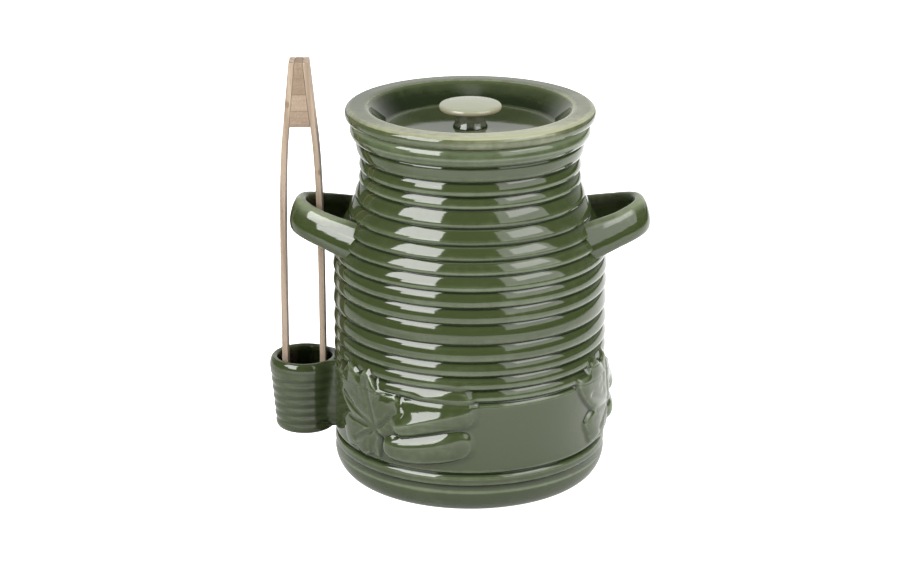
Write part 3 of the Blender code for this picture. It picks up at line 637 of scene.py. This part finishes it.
relief_rows = slice(len(base_ring), len(base_ring) + len(outside))
height = outside[:, 1:]
azimuth = np.arange(WALL_COLUMNS) * math.tau / WALL_COLUMNS
radius = np.repeat(outside[:, :1], WALL_COLUMNS, 1)
for sprig in range(SPRIGS):
    turn = azimuth - SPRIG_AZIMUTH - math.tau * sprig / SPRIGS
    across = BODY_RADIUS * (np.mod(turn + math.pi, math.tau) - math.pi)
    across, up = np.broadcast_arrays(across[None, :], height - SPRIG_HEIGHT)
    near = (np.abs(across) < SPRIG_PATCH[0]) & (np.abs(up) < SPRIG_PATCH[1])
    across, up = across[near], up[near]
    ground = soft_maximum(radius[near], BODY_RADIUS + leaf_height(across, up), LEAF_FILLET)
    for form in GHERKINS:
        gherkin = BODY_RADIUS + gherkin_height(across, up, *form)
        ground = soft_maximum(ground, gherkin, GHERKIN_FILLET)
    radius[near] = ground
# The coat of glaze rounds the relief over.
relief = radius - outside[:, :1]
inner = (relief[:-2] + 2.0 * relief[1:-1] + relief[2:]) / 4
relief = np.concatenate([relief[:1], inner, relief[-1:]])
relief = (np.roll(relief, 1, 1) + 2.0 * relief + np.roll(relief, -1, 1)) / 4
radius = outside[:, :1] + relief

around = np.zeros_like(radius)
level = outside[:, 1]
for place in POOL_PLACES:
    for column in range(WALL_COLUMNS):
        shifted = np.interp(level + place * POOL_REACH, level, radius[:, column])
        around[:, column] += shifted / len(POOL_PLACES)
for shift in POOL_COLUMNS:
    around += (np.roll(radius, shift, 1) - radius) / (len(POOL_COLUMNS) + 1)
hollow = around - radius
from_rim = np.clip(1.0 - (BODY_HEIGHT - height) / COLLAR_HEIGHT, 0.0, 1.0)
thickness = np.full(wall_grid.shape[:2], EVEN_COAT)
pooled = np.where(hollow > 0, hollow / POOL_DEPTH, hollow / THIN_RISE)
thickness[relief_rows] += EVEN_COAT * pooled
thickness[relief_rows] -= SPRIG_THIN * np.clip(relief / GHERKIN_PROUD, 0.0, 1.0)
thickness[relief_rows] -= RUN_OFF * from_rim
wall_grid[relief_rows, :, 0] = radius * np.sin(azimuth)
wall_grid[relief_rows, :, 1] = -radius * np.cos(azimuth)
wall.data.vertices.foreach_set("co", all_points(wall_grid).ravel())
lies = np.append(np.clip(thickness, 0.0, 1.0).ravel(), [EVEN_COAT, EVEN_COAT])
wall.data.attributes["thickness"].data.foreach_set("value", lies.astype(np.float32))
wall.data.update()
for place in ("front", "right", "back"):
    for what in ("leaf", "upper_gherkin", "lower_gherkin"):
        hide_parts(place + "_" + what)


# Strap handles
# Two straps cut from a soft slab, bent into a loop and luted on below the shoulder. The glaze runs
# thin along their upper edges, which are painted paler as light from above, and lies dark inside
# the loop.

HANDLE_AZIMUTH = math.radians(90.0)
HANDLE_REACH = 0.10336
HANDLE_DEPTH = 0.045
HANDLE_HALF_SPAN = 0.0338
HANDLE_SQUARENESS = 2.45
HANDLE_FOOT = 0.1493
HANDLE_RISE = 0.0134
STRAP_HALF_TALL = 0.0105
STRAP_HALF_THICK = 0.0045
STRAP_SQUARENESS = 2.3
STRAP_LEAN = math.radians(15.0)
STRAP_FLARE = 0.0035  # how much it spreads at the wall
STRAP_FLARE_START = 0.35
EDGE_THIN = (0.15, 0.172, 0.108, 1.0)  # on the strap's upper edge: thin glaze, made paler as painted light from above
EDGE_THINNER = 0.46  # how much thinner the glaze lies there, partly painted light on the strap's top
ROOT_THICKER = 0.3  # and how much thicker where the strap spreads
HANDLE_STATIONS = 110
STRAP_SIDES = 64


def oblong(half_width, half_height, squareness, count):
    """Points of a rounded rectangle. Squareness 2 is an ellipse, and more is squarer."""
    angle = (np.arange(count) + 0.5) * math.tau / count
    circle = np.array((np.cos(angle), np.sin(angle)))
    across, up = np.sign(circle) * np.abs(circle) ** (2.0 / squareness)
    return half_width * across, half_height * up


def polar(radius, azimuth, height):
    """Point at a radius and azimuth round Z."""
    return np.array((radius * math.sin(azimuth), -radius * math.cos(azimuth), height))


handle_glaze = glazed("handle_glaze", EDGE_THIN)
upward = np.array((0.0, 0.0, 1.0))
for side, azimuth in (("left", -HANDLE_AZIMUTH), ("right", HANDLE_AZIMUTH)):
    outward = polar(1.0, azimuth, 0.0)
    along = np.cross(upward, outward)
    rings, coats = [], []
    for share in np.linspace(-1.0, 1.0, HANDLE_STATIONS):
        bend = abs(share) ** HANDLE_SQUARENESS
        slope = math.copysign(abs(share) ** (HANDLE_SQUARENESS - 1), share)
        path = -outward * HANDLE_DEPTH * HANDLE_SQUARENESS * slope + along * HANDLE_HALF_SPAN
        across_path = np.cross(path / np.linalg.norm(path), upward)
        centre = outward * (HANDLE_REACH - HANDLE_DEPTH * bend) + along * HANDLE_HALF_SPAN * share
        centre[2] = HANDLE_FOOT + HANDLE_RISE * (1.0 - bend)
        flare = max(0.0, bend - STRAP_FLARE_START)
        half_tall = STRAP_HALF_TALL + STRAP_FLARE * flare
        across, up = oblong(STRAP_HALF_THICK, half_tall, STRAP_SQUARENESS, STRAP_SIDES)
        outer = across * math.cos(STRAP_LEAN) - up * math.sin(STRAP_LEAN)
        above = across * math.sin(STRAP_LEAN) + up * math.cos(STRAP_LEAN)
        rings.append(centre + outer[:, None] * across_path + above[:, None] * upward)
        # Thin glaze and painted light: the strap turns paler towards its top edge, as if lit from
        # above.
        edge = np.clip(above / half_tall, 0.0, 1.0) ** 2
        coats.append(EVEN_COAT - EDGE_THINNER * edge + ROOT_THICKER * flare)
    handle = skin(side + "_strap_handle", np.array(rings), np.array(coats))
    handle.data.materials.append(handle_glaze)
    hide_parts(side + "_handle")
    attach(handle, "crock")


# Tong cup
# A small tapered cup with a smooth rim band and shallow throwing grooves, luted to the crock by a
# short web and glazed with it.

CUP_AZIMUTH = math.radians(-92.0)
CUP_REACH = 0.1016
CUP_BOTTOM = 0.0234
CUP_HEIGHT = 0.0466
CUP_RIM = CUP_BOTTOM + CUP_HEIGHT
CUP_BORE_RADIUS = 0.0165
CUP_WALL = 0.0056
CUP_FLOOR = 0.005
CUP_TAPER = 0.004
CUP_FOOT_RADIUS = 0.015
CUP_RIM_BAND = 0.0095
CUP_GROOVES = 6
CUP_GROOVE_DEPTH = 0.00048
CUP_FOOT_LAND = 0.001  # between its rounded foot and the lowest groove
CUP_FOOT_END_ANGLE = -10.0
CUP_RIM_ROUND = 0.0022
CUP_RIM_BEAD = (0.0028, 0.006)
CUP_BORE_CORNER = 0.002
CUP_MIDDLE = 0.006  # radius of the middle discs of its foot and floor
CUP_ROWS = {"foot": 10, "side": 120, "rim": 16, "lip": 8, "bore": 18, "corner": 7}
CUP_COLUMNS = 200
CUP_GROOVE_THICKER = 0.36  # glaze pooled in the grooves, partly painted shade between the lighter bands
CUP_SIDE_THINNER = 0.16  # over its whole side
CUP_RIM_COAT = 0.22
CUP_RIM_ROWS = (3, 5)  # rows outside and inside that have it
CUP_BORE_COAT = 0.92
WEB_HALF_WIDTH = 0.0135
WEB_START = 0.003  # height over the cup's foot
WEB_FOOT = (0.014, 0.01)  # height below which it narrows, and over how much
WEB_FOOT_NARROW = 0.004
WEB_FILLET = 0.004
WEB_LENGTH = CUP_REACH - BODY_RADIUS + WALL / 2
WEB_THICKER = 0.4  # of glaze
WEB_COAT_SPAN = (0.024, 0.008)  # from this radius outwards, and over how much
NEARLY_NONE = 1e-4

rounding = CUP_BORE_RADIUS + CUP_WALL - CUP_TAPER - CUP_FOOT_RADIUS
foot_centre = (CUP_FOOT_RADIUS, CUP_BOTTOM + rounding)
cup_foot = arc(foot_centre, rounding, -90, CUP_FOOT_END_ANGLE, CUP_ROWS["foot"])
rim_lean = math.atan(CUP_TAPER / CUP_HEIGHT * CUP_RIM_BEAD[1] / CUP_RIM_BEAD[0])
bead_start = CUP_RIM - CUP_RIM_BEAD[1] * (1.0 + math.sin(rim_lean))
height = np.linspace(foot_centre[1], bead_start, CUP_ROWS["side"])
radius = CUP_BORE_RADIUS + CUP_WALL - CUP_TAPER * (CUP_RIM - height) / CUP_HEIGHT
grooves_start, grooves_end = foot_centre[1] + CUP_FOOT_LAND, CUP_RIM - CUP_RIM_BAND
turns = (height - grooves_start) / (grooves_end - grooves_start) * CUP_GROOVES
grooved = (turns > 0.0) & (turns < CUP_GROOVES)
groove = np.where(grooved, np.sin(np.pi * np.mod(turns, 1.0)) ** 2, 0.0)
cup_side = np.stack([radius - CUP_GROOVE_DEPTH * groove, height], 1)
bead_centre = (radius[-1] - CUP_RIM_BEAD[0] * math.cos(rim_lean), CUP_RIM - CUP_RIM_BEAD[1])
cup_rim = arc(bead_centre, CUP_RIM_BEAD, -math.degrees(rim_lean), 90, CUP_ROWS["rim"])[1:]
lip_centre = (CUP_BORE_RADIUS + CUP_RIM_ROUND, CUP_RIM - CUP_RIM_ROUND)
cup_lip = arc(lip_centre, CUP_RIM_ROUND, 90, 180, CUP_ROWS["lip"])
centre = (CUP_BORE_RADIUS - CUP_BORE_CORNER, CUP_BOTTOM + CUP_FLOOR + CUP_BORE_CORNER)
bore_corner = arc(centre, CUP_BORE_CORNER, 0, -90, CUP_ROWS["corner"])
cup_bore = line((CUP_BORE_RADIUS, lip_centre[1] - CUP_BORE_CORNER),
                (CUP_BORE_RADIUS, bore_corner[0, 1] + CUP_BORE_CORNER), CUP_ROWS["bore"])
cup_profile = np.concatenate([
    [(CUP_MIDDLE, CUP_BOTTOM)], cup_foot, cup_side, cup_rim, cup_lip, cup_bore, bore_corner,
    [(CUP_MIDDLE, CUP_BOTTOM + CUP_FLOOR)],
])
outer_rows = 1 + len(cup_foot) + len(cup_side) + len(cup_rim)
angle = np.arange(CUP_COLUMNS) * math.tau / CUP_COLUMNS
radius = np.repeat(cup_profile[:, :1], CUP_COLUMNS, 1)
height = np.repeat(cup_profile[:, 1:], CUP_COLUMNS, 1)
in_foot = np.clip((CUP_BOTTOM + WEB_FOOT[0] - height) / WEB_FOOT[1], 0.0, 1.0)
half_width = WEB_HALF_WIDTH - WEB_FOOT_NARROW * in_foot ** 2
half_width -= np.clip(height - CUP_RIM + CUP_RIM_ROUND, 0.0, None) ** 2 / CUP_RIM_ROUND
toward = np.cos(angle)[None, :]
aside = np.maximum(np.abs(np.sin(angle))[None, :], NEARLY_NONE)
web = np.minimum(half_width / aside, WEB_LENGTH / np.maximum(toward, NEARLY_NONE))
web = np.where((toward > 0) & (height > CUP_BOTTOM + WEB_START), web, 0.0)
radius[:outer_rows] = soft_maximum(radius, web, WEB_FILLET)[:outer_rows]
inward = -polar(1.0, CUP_AZIMUTH, 0.0)
sideways = np.cross(upward, inward)
cup_grid = np.cos(angle)[:, None] * inward + np.sin(angle)[:, None] * sideways
cup_grid = radius[..., None] * cup_grid + polar(CUP_REACH, CUP_AZIMUTH, 0.0)
cup_grid[..., 2] = height
cup_coat = np.full(height.shape, EVEN_COAT)
side_rows = slice(1 + len(cup_foot), outer_rows - len(cup_rim))
# Pooled glaze and painted shade: the grooves are darkened, standing in for the light and dark bands
# of reflection.
cup_coat[side_rows] += CUP_GROOVE_THICKER * groove[:, None] - CUP_SIDE_THINNER
cup_coat[outer_rows - CUP_RIM_ROWS[0]:outer_rows + CUP_RIM_ROWS[1]] = CUP_RIM_COAT
# Pooled glaze and painted shade: the whole bore takes the darkest pooled colour, standing in for
# the shade inside it.
cup_coat[outer_rows + len(cup_lip):] = CUP_BORE_COAT
on_web = np.clip((radius - WEB_COAT_SPAN[0]) / WEB_COAT_SPAN[1], 0.0, 1.0)
cup_coat = np.clip(cup_coat + WEB_THICKER * on_web, 0.0, 1.0)
cup = skin("tong_cup_body", cup_grid, cup_coat)
cup.data.materials.append(green_glaze)
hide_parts("tong_cup")
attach(cup, "crock")


# Lid
# A turned lid with a wide soft flange round a sunk dish. Its glaze is thinner and creamier than the
# crock's, and the seat and the locating ring below are left bare so that it can't stick in firing.

LID_RADIUS = 0.0748
LID_SEAT = 0.2209
LID_TOP = 0.2288
LID_EDGE_ROUND = 0.0036
LID_MIDDLE = 0.004  # radius of its middle discs, above and below
FLANGE_FLAT = (0.0008, 0.0032)  # how far its flat stays off the edge and the dish
FLANGE_RISE = 0.0001  # how much it rises inwards
DISH_TOP_RADIUS = 0.061
DISH_FLOOR_RADIUS = 0.0505
DISH_FLOOR = 0.2155
DISH_FLAT = 0.004  # how far its flat stays off its corner
LID_UNDER = 0.211
UNDER_FLAT = 0.005  # and the underside's off the ring
RING_RADIUS = 0.0633
RING_INNER = 0.0583
RING_FOOT = 0.2099
RING_LEAN = 0.003  # how far its inner side leans in
RING_NECK = 0.0015  # how far below the seat its outer side ends
UNDER_EASE = 0.0012  # how far the curve of each corner reaches
RING_EASES = (0.0008, 0.0012)
SEAT_EASE = 0.0006
LIP_EASE = 0.0028
DISH_EASE = 0.0026
LID_ROWS = {"under": 8, "edge": 12, "flange": 9, "corner": 10, "floor": 20}
LID_COLUMNS = 256
LID_THIN = (0.24, 0.246, 0.158, 1.0)
LID_FULL = (0.043, 0.054, 0.024, 1.0)
LID_COAT = (  # distance outwards from the dish's lip, and thickness
    (-0.0105, 0.45), (-0.0085, 0.95), (-0.003, 0.8), (0.0005, 0.14),
    (0.003, 0.3), (0.0095, 0.3), (0.0112, 0.2), (0.0135, 0.22),
)
LID_SIDE = (0.0105, 0.0016)  # its side lies further out than this, and below the top
LID_SIDE_COAT = 0.52
# Painted light and shade on the lid: paler glaze at the front, darker at the back and on the left.
LID_FRONT_THINNER = 0.2
LID_LEFT_THICKER = 0.12


def eased(before, corner, after, setback, count=7):
    """Rounded corner: a curve from setback before the corner to setback after it."""
    before, corner, after = np.array(before), np.array(corner), np.array(after)
    start = corner + (before - corner) / np.linalg.norm(before - corner) * setback
    end = corner + (after - corner) / np.linalg.norm(after - corner) * setback
    share = np.linspace(0.0, 1.0, count)[:, None]
    return (1 - share) ** 2 * start + 2 * share * (1 - share) * corner + share ** 2 * end


edge = LID_RADIUS - LID_EDGE_ROUND
under_corner = (RING_INNER - RING_LEAN, LID_UNDER)
ring_inside, ring_outside = (RING_INNER, RING_FOOT), (RING_RADIUS, RING_FOOT)
seat_corner = (RING_RADIUS, LID_SEAT)
lip, dish_corner = (DISH_TOP_RADIUS, LID_TOP), (DISH_FLOOR_RADIUS, DISH_FLOOR)
flange_end = (DISH_TOP_RADIUS + FLANGE_FLAT[1], LID_TOP + FLANGE_RISE)
under = np.concatenate([
    line((LID_MIDDLE, LID_UNDER), (RING_INNER - UNDER_FLAT, LID_UNDER), LID_ROWS["under"]),
    eased((0.0, LID_UNDER), under_corner, ring_inside, UNDER_EASE),
    eased(under_corner, ring_inside, ring_outside, RING_EASES[0]),
    eased(ring_inside, ring_outside, seat_corner, RING_EASES[1]),
    [(RING_RADIUS, LID_SEAT - RING_NECK)],
    eased(ring_outside, seat_corner, (LID_RADIUS, LID_SEAT), SEAT_EASE),
])
over = np.concatenate([
    arc((edge, LID_SEAT + LID_EDGE_ROUND), LID_EDGE_ROUND, -90, 0, LID_ROWS["edge"]),
    arc((edge, LID_TOP - LID_EDGE_ROUND), LID_EDGE_ROUND, 0, 90, LID_ROWS["edge"]),
    line((edge - FLANGE_FLAT[0], LID_TOP), flange_end, LID_ROWS["flange"]),
    eased((edge, LID_TOP), lip, dish_corner, LIP_EASE, LID_ROWS["corner"]),
    eased(lip, dish_corner, (0.0, DISH_FLOOR), DISH_EASE, LID_ROWS["corner"]),
    line((DISH_FLOOR_RADIUS - DISH_FLAT, DISH_FLOOR), (LID_MIDDLE, DISH_FLOOR), LID_ROWS["floor"]),
])
lid_profile = np.concatenate([under, over])
from_lip = lid_profile[:, 0] - DISH_TOP_RADIUS
on_side = (from_lip > LID_SIDE[0]) & (LID_TOP - lid_profile[:, 1] > LID_SIDE[1])
lid_coat = np.where(on_side, LID_SIDE_COAT, np.interp(from_lip, *zip(*LID_COAT)))
azimuth = np.arange(LID_COLUMNS) * math.tau / LID_COLUMNS
# Painted light and shade: the glaze is made thinner and paler at the front, thicker and darker at
# the back and on the left.
lid_coat = lid_coat[:, None] - LID_FRONT_THINNER * np.cos(azimuth)
lid_coat -= LID_LEFT_THICKER * np.minimum(np.sin(azimuth), 0.0)
lid_dry = np.zeros(lid_coat.shape)
lid_dry[:len(under) + 1] = 1.0
lid = skin("lid_body", turned(lid_profile, LID_COLUMNS), lid_coat, lid_dry)
pale_glaze = glazed("pale_green_glaze", LID_THIN, LID_FULL)
lid.data.materials.append(pale_glaze)
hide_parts("lid")
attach(lid, "lid")


# Lid knob
# A thin mushroom cap on a short waisted neck, thrown on the lid. The glaze has run off its edge and
# gathered in a dark ring round its foot.

KNOB_FOOT = 0.2158
KNOB_TOP = 0.2311
KNOB_RADIUS = 0.0188
KNOB_NECK = 0.0087
KNOB_NECK_ENDS = (0.0035, 0.0062)  # above the knob's foot and below its top
KNOB_FOOT_RADIUS = 0.0105
KNOB_FOOT_EASE = 0.0004
KNOB_NECK_EASE = 0.0026
KNOB_EDGE = 0.002
KNOB_EDGE_ANGLES = (-62, 80)
KNOB_UNDERCUT = 0.0026  # rise of the cap's underside
KNOB_UNDER_LINE = (0.003, 0.0004)  # length and rise of its outer part
KNOB_CROWN = 0.0013
CROWN_SPAN = (0.985, 0.0015)  # share of the cap that it covers, and its last radius
KNOB_MIDDLE = 0.002
KNOB_ROWS = {"foot": 4, "neck": 9, "under": 4, "edge": 14, "crown": 16}
KNOB_COLUMNS = 128
KNOB_THIN = (0.165, 0.127, 0.07, 1.0)
KNOB_FULL = (0.205, 0.215, 0.15, 1.0)
KNOB_COAT = (1.0, 0.84, 0.74, 0.06, 0.5)  # how thick it lies, from foot to crown
KNOB_POOL = 0.0022  # height of the pool round its foot
KNOB_TOP_COAT = 0.48
KNOB_TOP_INSET = 0.0005

neck_low = (KNOB_NECK, KNOB_FOOT + KNOB_NECK_ENDS[0])
neck_high = (KNOB_NECK, KNOB_TOP - KNOB_NECK_ENDS[1])
cap_edge = (KNOB_RADIUS - KNOB_EDGE, KNOB_TOP - KNOB_CROWN - KNOB_EDGE)
cap_under = (cap_edge[0], neck_high[1] + KNOB_UNDERCUT)
under_start = (cap_under[0] - KNOB_UNDER_LINE[0], cap_under[1] - KNOB_UNDER_LINE[1])
foot_edge = (KNOB_FOOT_RADIUS, KNOB_FOOT)
crown_radius = np.linspace(cap_edge[0] * CROWN_SPAN[0], CROWN_SPAN[1], KNOB_ROWS["crown"])
crown = np.stack([crown_radius, KNOB_TOP - KNOB_CROWN * (crown_radius / cap_edge[0]) ** 2], 1)
knob_profile = np.concatenate([
    [(KNOB_MIDDLE, KNOB_FOOT), (KNOB_FOOT_RADIUS - KNOB_FOOT_EASE, KNOB_FOOT)],
    eased((0.0, KNOB_FOOT), foot_edge, neck_low, KNOB_FOOT_EASE, KNOB_ROWS["foot"]),
    eased(foot_edge, neck_low, neck_high, KNOB_NECK_EASE, KNOB_ROWS["neck"]),
    eased(neck_low, neck_high, cap_under, KNOB_NECK_EASE, KNOB_ROWS["neck"]),
    line(under_start, cap_under, KNOB_ROWS["under"]),
    arc(cap_edge, KNOB_EDGE, *KNOB_EDGE_ANGLES, KNOB_ROWS["edge"]),
    crown,
])
coat_heights = (KNOB_FOOT, KNOB_FOOT + KNOB_POOL, neck_high[1], cap_edge[1] - KNOB_EDGE, KNOB_TOP)
knob_coat = np.interp(knob_profile[:, 1], coat_heights, KNOB_COAT)
inside_edge = knob_profile[:, 0] < cap_edge[0] - KNOB_TOP_INSET
knob_coat = np.where((knob_profile[:, 1] > cap_edge[1]) & inside_edge, KNOB_TOP_COAT, knob_coat)
knob = skin("lid_knob_body", turned(knob_profile, KNOB_COLUMNS), knob_coat[:, None])
knob.data.materials.append(glazed("knob_glaze", KNOB_THIN, KNOB_FULL))
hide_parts("lid_knob")
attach(knob, "lid")


# Wooden tongs
# Two thin sawn strips glued to a wedge at the top and left bare. They spring apart below it.

TONG_TOP = 0.2553
TONG_FOOT = 0.0287
TONG_WIDTH = 0.016
TONG_THICK = 0.0036
TONG_TOP_HALF = 0.006
TONG_BLOCK_HALF = 0.0099
TONG_TIP_HALF = 0.013346
TONG_RELAX = 0.028
WEDGE_FOOT = 0.216
GLUE_LINE = 0.00003
FLEX_HEIGHT = 0.1753
STRIP_ROWS = 150
WEDGE_ROWS = 12
STRIP_SIDES = 40
STRIP_EASE = 0.0005  # rounding of a strip's ends
WEDGE_EASE = 0.0004
EASE_STEPS = (0.0, 0.08, 0.3, 0.6)  # extra rows in it, as shares
EDGE_SQUARENESS = 22.0
WEDGE_SQUARENESS = 40.0
LAYER = 0.01  # height of one layer of the stacked wedge
LIGHT_WOOD = (0.286, 0.222, 0.164, 1.0)
DARK_WOOD = (0.15, 0.102, 0.064, 1.0)
WANDER = (14.0, 0.35, 0.3)  # scale, stretch up and darkness, as of the next four
FIBRES = (900.0, 0.03, 0.38)
RINGS = (95.0, 0.045, 0.34)
RING_BENDS = {"Distortion": 3.2, "Detail": 2.0, "Detail Scale": 1.6}
PORES = (1500.0, 0.045, 0.22)
KNOTS = (60.0, 0.6, 0.75)
PORE_EDGE = (0.22, 0.1)  # share of a cell at which it starts, and is full
KNOT_EDGE = (0.12, 0.05)
WOOD_TONES = (0.25, 1.05)  # darkness of the light and of the dark colour
FIBRE_SPAN = (0.2, 0.8)  # of the noise over which the roughness changes
WOOD_ROUGHNESS = (0.55, 0.75)
PORE_SUNK = -0.6
WOOD_RELIEF = (0.00008, 0.8)  # height and strength
END_GRAIN = (1500.0, 0.55)  # of the wedge: scale, and how dark it is
GROWTH = (160.0, 0.35)
GROWTH_STRETCH = (0.5, 0.5, 4.0)
LAYER_TONE = 0.3
JOINT_TONE = 0.35
JOINT_EDGE = (0.035, 0.01)
END_TONES = (0.05, 0.95)
END_ROUGHNESS = (0.62, 0.8)
JOINT_SUNK = -0.8
END_RELIEF = 0.0001


def stretched(tree, up):
    """The piece's own space, drawn out along Z."""
    inputs = {0: own_place(tree), 1: (1.0, 1.0, up)}
    return put(tree, "VectorMath", inputs, operation="MULTIPLY").outputs[0]


wood, tree, shader = new_material("bare_wood")
wander = noise(tree, WANDER[0], 1.0, (1.0, 1.0, WANDER[1]))
fibres = noise(tree, FIBRES[0], 3.0, (1.0, 1.0, FIBRES[1]))
wave = {"Vector": stretched(tree, RINGS[1]), "Scale": RINGS[0], **RING_BENDS}
rings = put(tree, "TexWave", wave, wave_type="BANDS", bands_direction="DIAGONAL").outputs["Fac"]
pores = put(tree, "TexVoronoi", {"Vector": stretched(tree, PORES[1]), "Scale": PORES[0]})
pore = spread(tree, pores.outputs["Distance"], *PORE_EDGE)
knots = put(tree, "TexVoronoi", {"Vector": stretched(tree, KNOTS[1]), "Scale": KNOTS[0]})
knot = spread(tree, knots.outputs["Distance"], *KNOT_EDGE)
shade = add_up(tree, 0.0, (rings, RINGS[2]), (fibres, FIBRES[2]), (wander, WANDER[2]),
               (pore, PORES[2]), (knot, KNOTS[2]))
tone = mixed(tree, spread(tree, shade, *WOOD_TONES), LIGHT_WOOD, DARK_WOOD)
roughness = spread(tree, fibres, *FIBRE_SPAN, *WOOD_ROUGHNESS)
relief = calculate(tree, "MULTIPLY_ADD", pore, PORE_SUNK, fibres)
dress(tree, shader, tone, roughness, relief, *WOOD_RELIEF)

# The wedge is stacked from thin pieces that show their end grain, each of its own tone.
stacked_wood, tree, shader = new_material("stacked_wood")
up = put(tree, "SeparateXYZ", {0: own_place(tree)}).outputs["Z"]
layer = calculate(tree, "DIVIDE", calculate(tree, "SUBTRACT", up, WEDGE_FOOT), LAYER)
layer_number = calculate(tree, "FLOOR", layer)
chance = put(tree, "TexWhiteNoise", {"W": layer_number}, noise_dimensions="1D").outputs["Value"]
joint = spread(tree, calculate(tree, "PINGPONG", layer, 0.5), *JOINT_EDGE)
end_grain = noise(tree, END_GRAIN[0], 2.0)
growth = noise(tree, GROWTH[0], 2.0, GROWTH_STRETCH)
shade = add_up(tree, 0.0, (end_grain, END_GRAIN[1]), (growth, GROWTH[1]), (chance, LAYER_TONE),
               (joint, JOINT_TONE))
tone = mixed(tree, spread(tree, shade, *END_TONES), LIGHT_WOOD, DARK_WOOD)
roughness = spread(tree, end_grain, *FIBRE_SPAN, *END_ROUGHNESS)
relief = calculate(tree, "MULTIPLY_ADD", joint, JOINT_SUNK, end_grain)
dress(tree, shader, tone, roughness, relief, END_RELIEF)


def strip_half(height):
    """Half of the width over both strips at a height."""
    if height >= WEDGE_FOOT:
        rise = (height - WEDGE_FOOT) / (TONG_TOP - WEDGE_FOOT)
        return TONG_BLOCK_HALF + (TONG_TOP_HALF - TONG_BLOCK_HALF) * rise
    fade = np.exp((height - WEDGE_FOOT) / TONG_RELAX)
    return TONG_TIP_HALF + (TONG_BLOCK_HALF - TONG_TIP_HALF) * fade


def loft(name, rows, squareness=EDGE_SQUARENESS):
    """Closed block over rows of middle x, half thickness, half width and height."""
    grid = []
    for middle, half_thick, half_wide, height in rows:
        across, up = oblong(half_thick, half_wide, squareness, STRIP_SIDES)
        grid.append(np.stack([middle + across, up, np.full(STRIP_SIDES, height)], 1))
    return skin(name, np.array(grid) + polar(CUP_REACH, CUP_AZIMUTH, 0.0))


def end_ease(height, low, high, ease):
    """Shrinks a section within ease of either end, so that the end's edges are rounded."""
    near = np.clip(min(height - low, high - height) / ease, 0.0, 1.0)
    return ease * (1.0 - np.sqrt(1.0 - (1.0 - near) ** 2))


def eased_heights(low, high, ease, count):
    """Heights from low to high, with extra ones at both rounded ends."""
    ends = ease * np.array(EASE_STEPS)
    between = np.linspace(low + ease, high - ease, count)
    return np.concatenate([low + ends, between, (high - ends)[::-1]])


for side, word in ((-1, "left"), (1, "right")):
    rows = []
    for height in eased_heights(TONG_FOOT, TONG_TOP, STRIP_EASE, STRIP_ROWS):
        shrink = end_ease(height, TONG_FOOT, TONG_TOP, STRIP_EASE)
        middle = side * (strip_half(height) - TONG_THICK / 2)
        rows.append((middle, TONG_THICK / 2 - shrink, TONG_WIDTH / 2 - shrink, height))
    arm = loft(word + "_strip", rows)
    arm.data.materials.append(wood)
    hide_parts(word + "_arm_root", word + "_arm_blade")
    flex = polar(CUP_REACH, CUP_AZIMUTH, FLEX_HEIGHT)
    flex[0] += side * (strip_half(FLEX_HEIGHT) - TONG_THICK / 2)
    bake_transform(arm)

wedge_rows = []
for height in eased_heights(WEDGE_FOOT, TONG_TOP, WEDGE_EASE, WEDGE_ROWS):
    shrink = end_ease(height, WEDGE_FOOT, TONG_TOP, WEDGE_EASE)
    half = strip_half(height) - TONG_THICK - GLUE_LINE
    wedge_rows.append((0.0, half - shrink, TONG_WIDTH / 2 - shrink, height))
wedge = loft("glued_wedge", wedge_rows, WEDGE_SQUARENESS)
wedge.data.materials.append(stacked_wood)
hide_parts("tongs_wedge")
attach(wedge, "tongs_head")


bpy.context.view_layer.update()
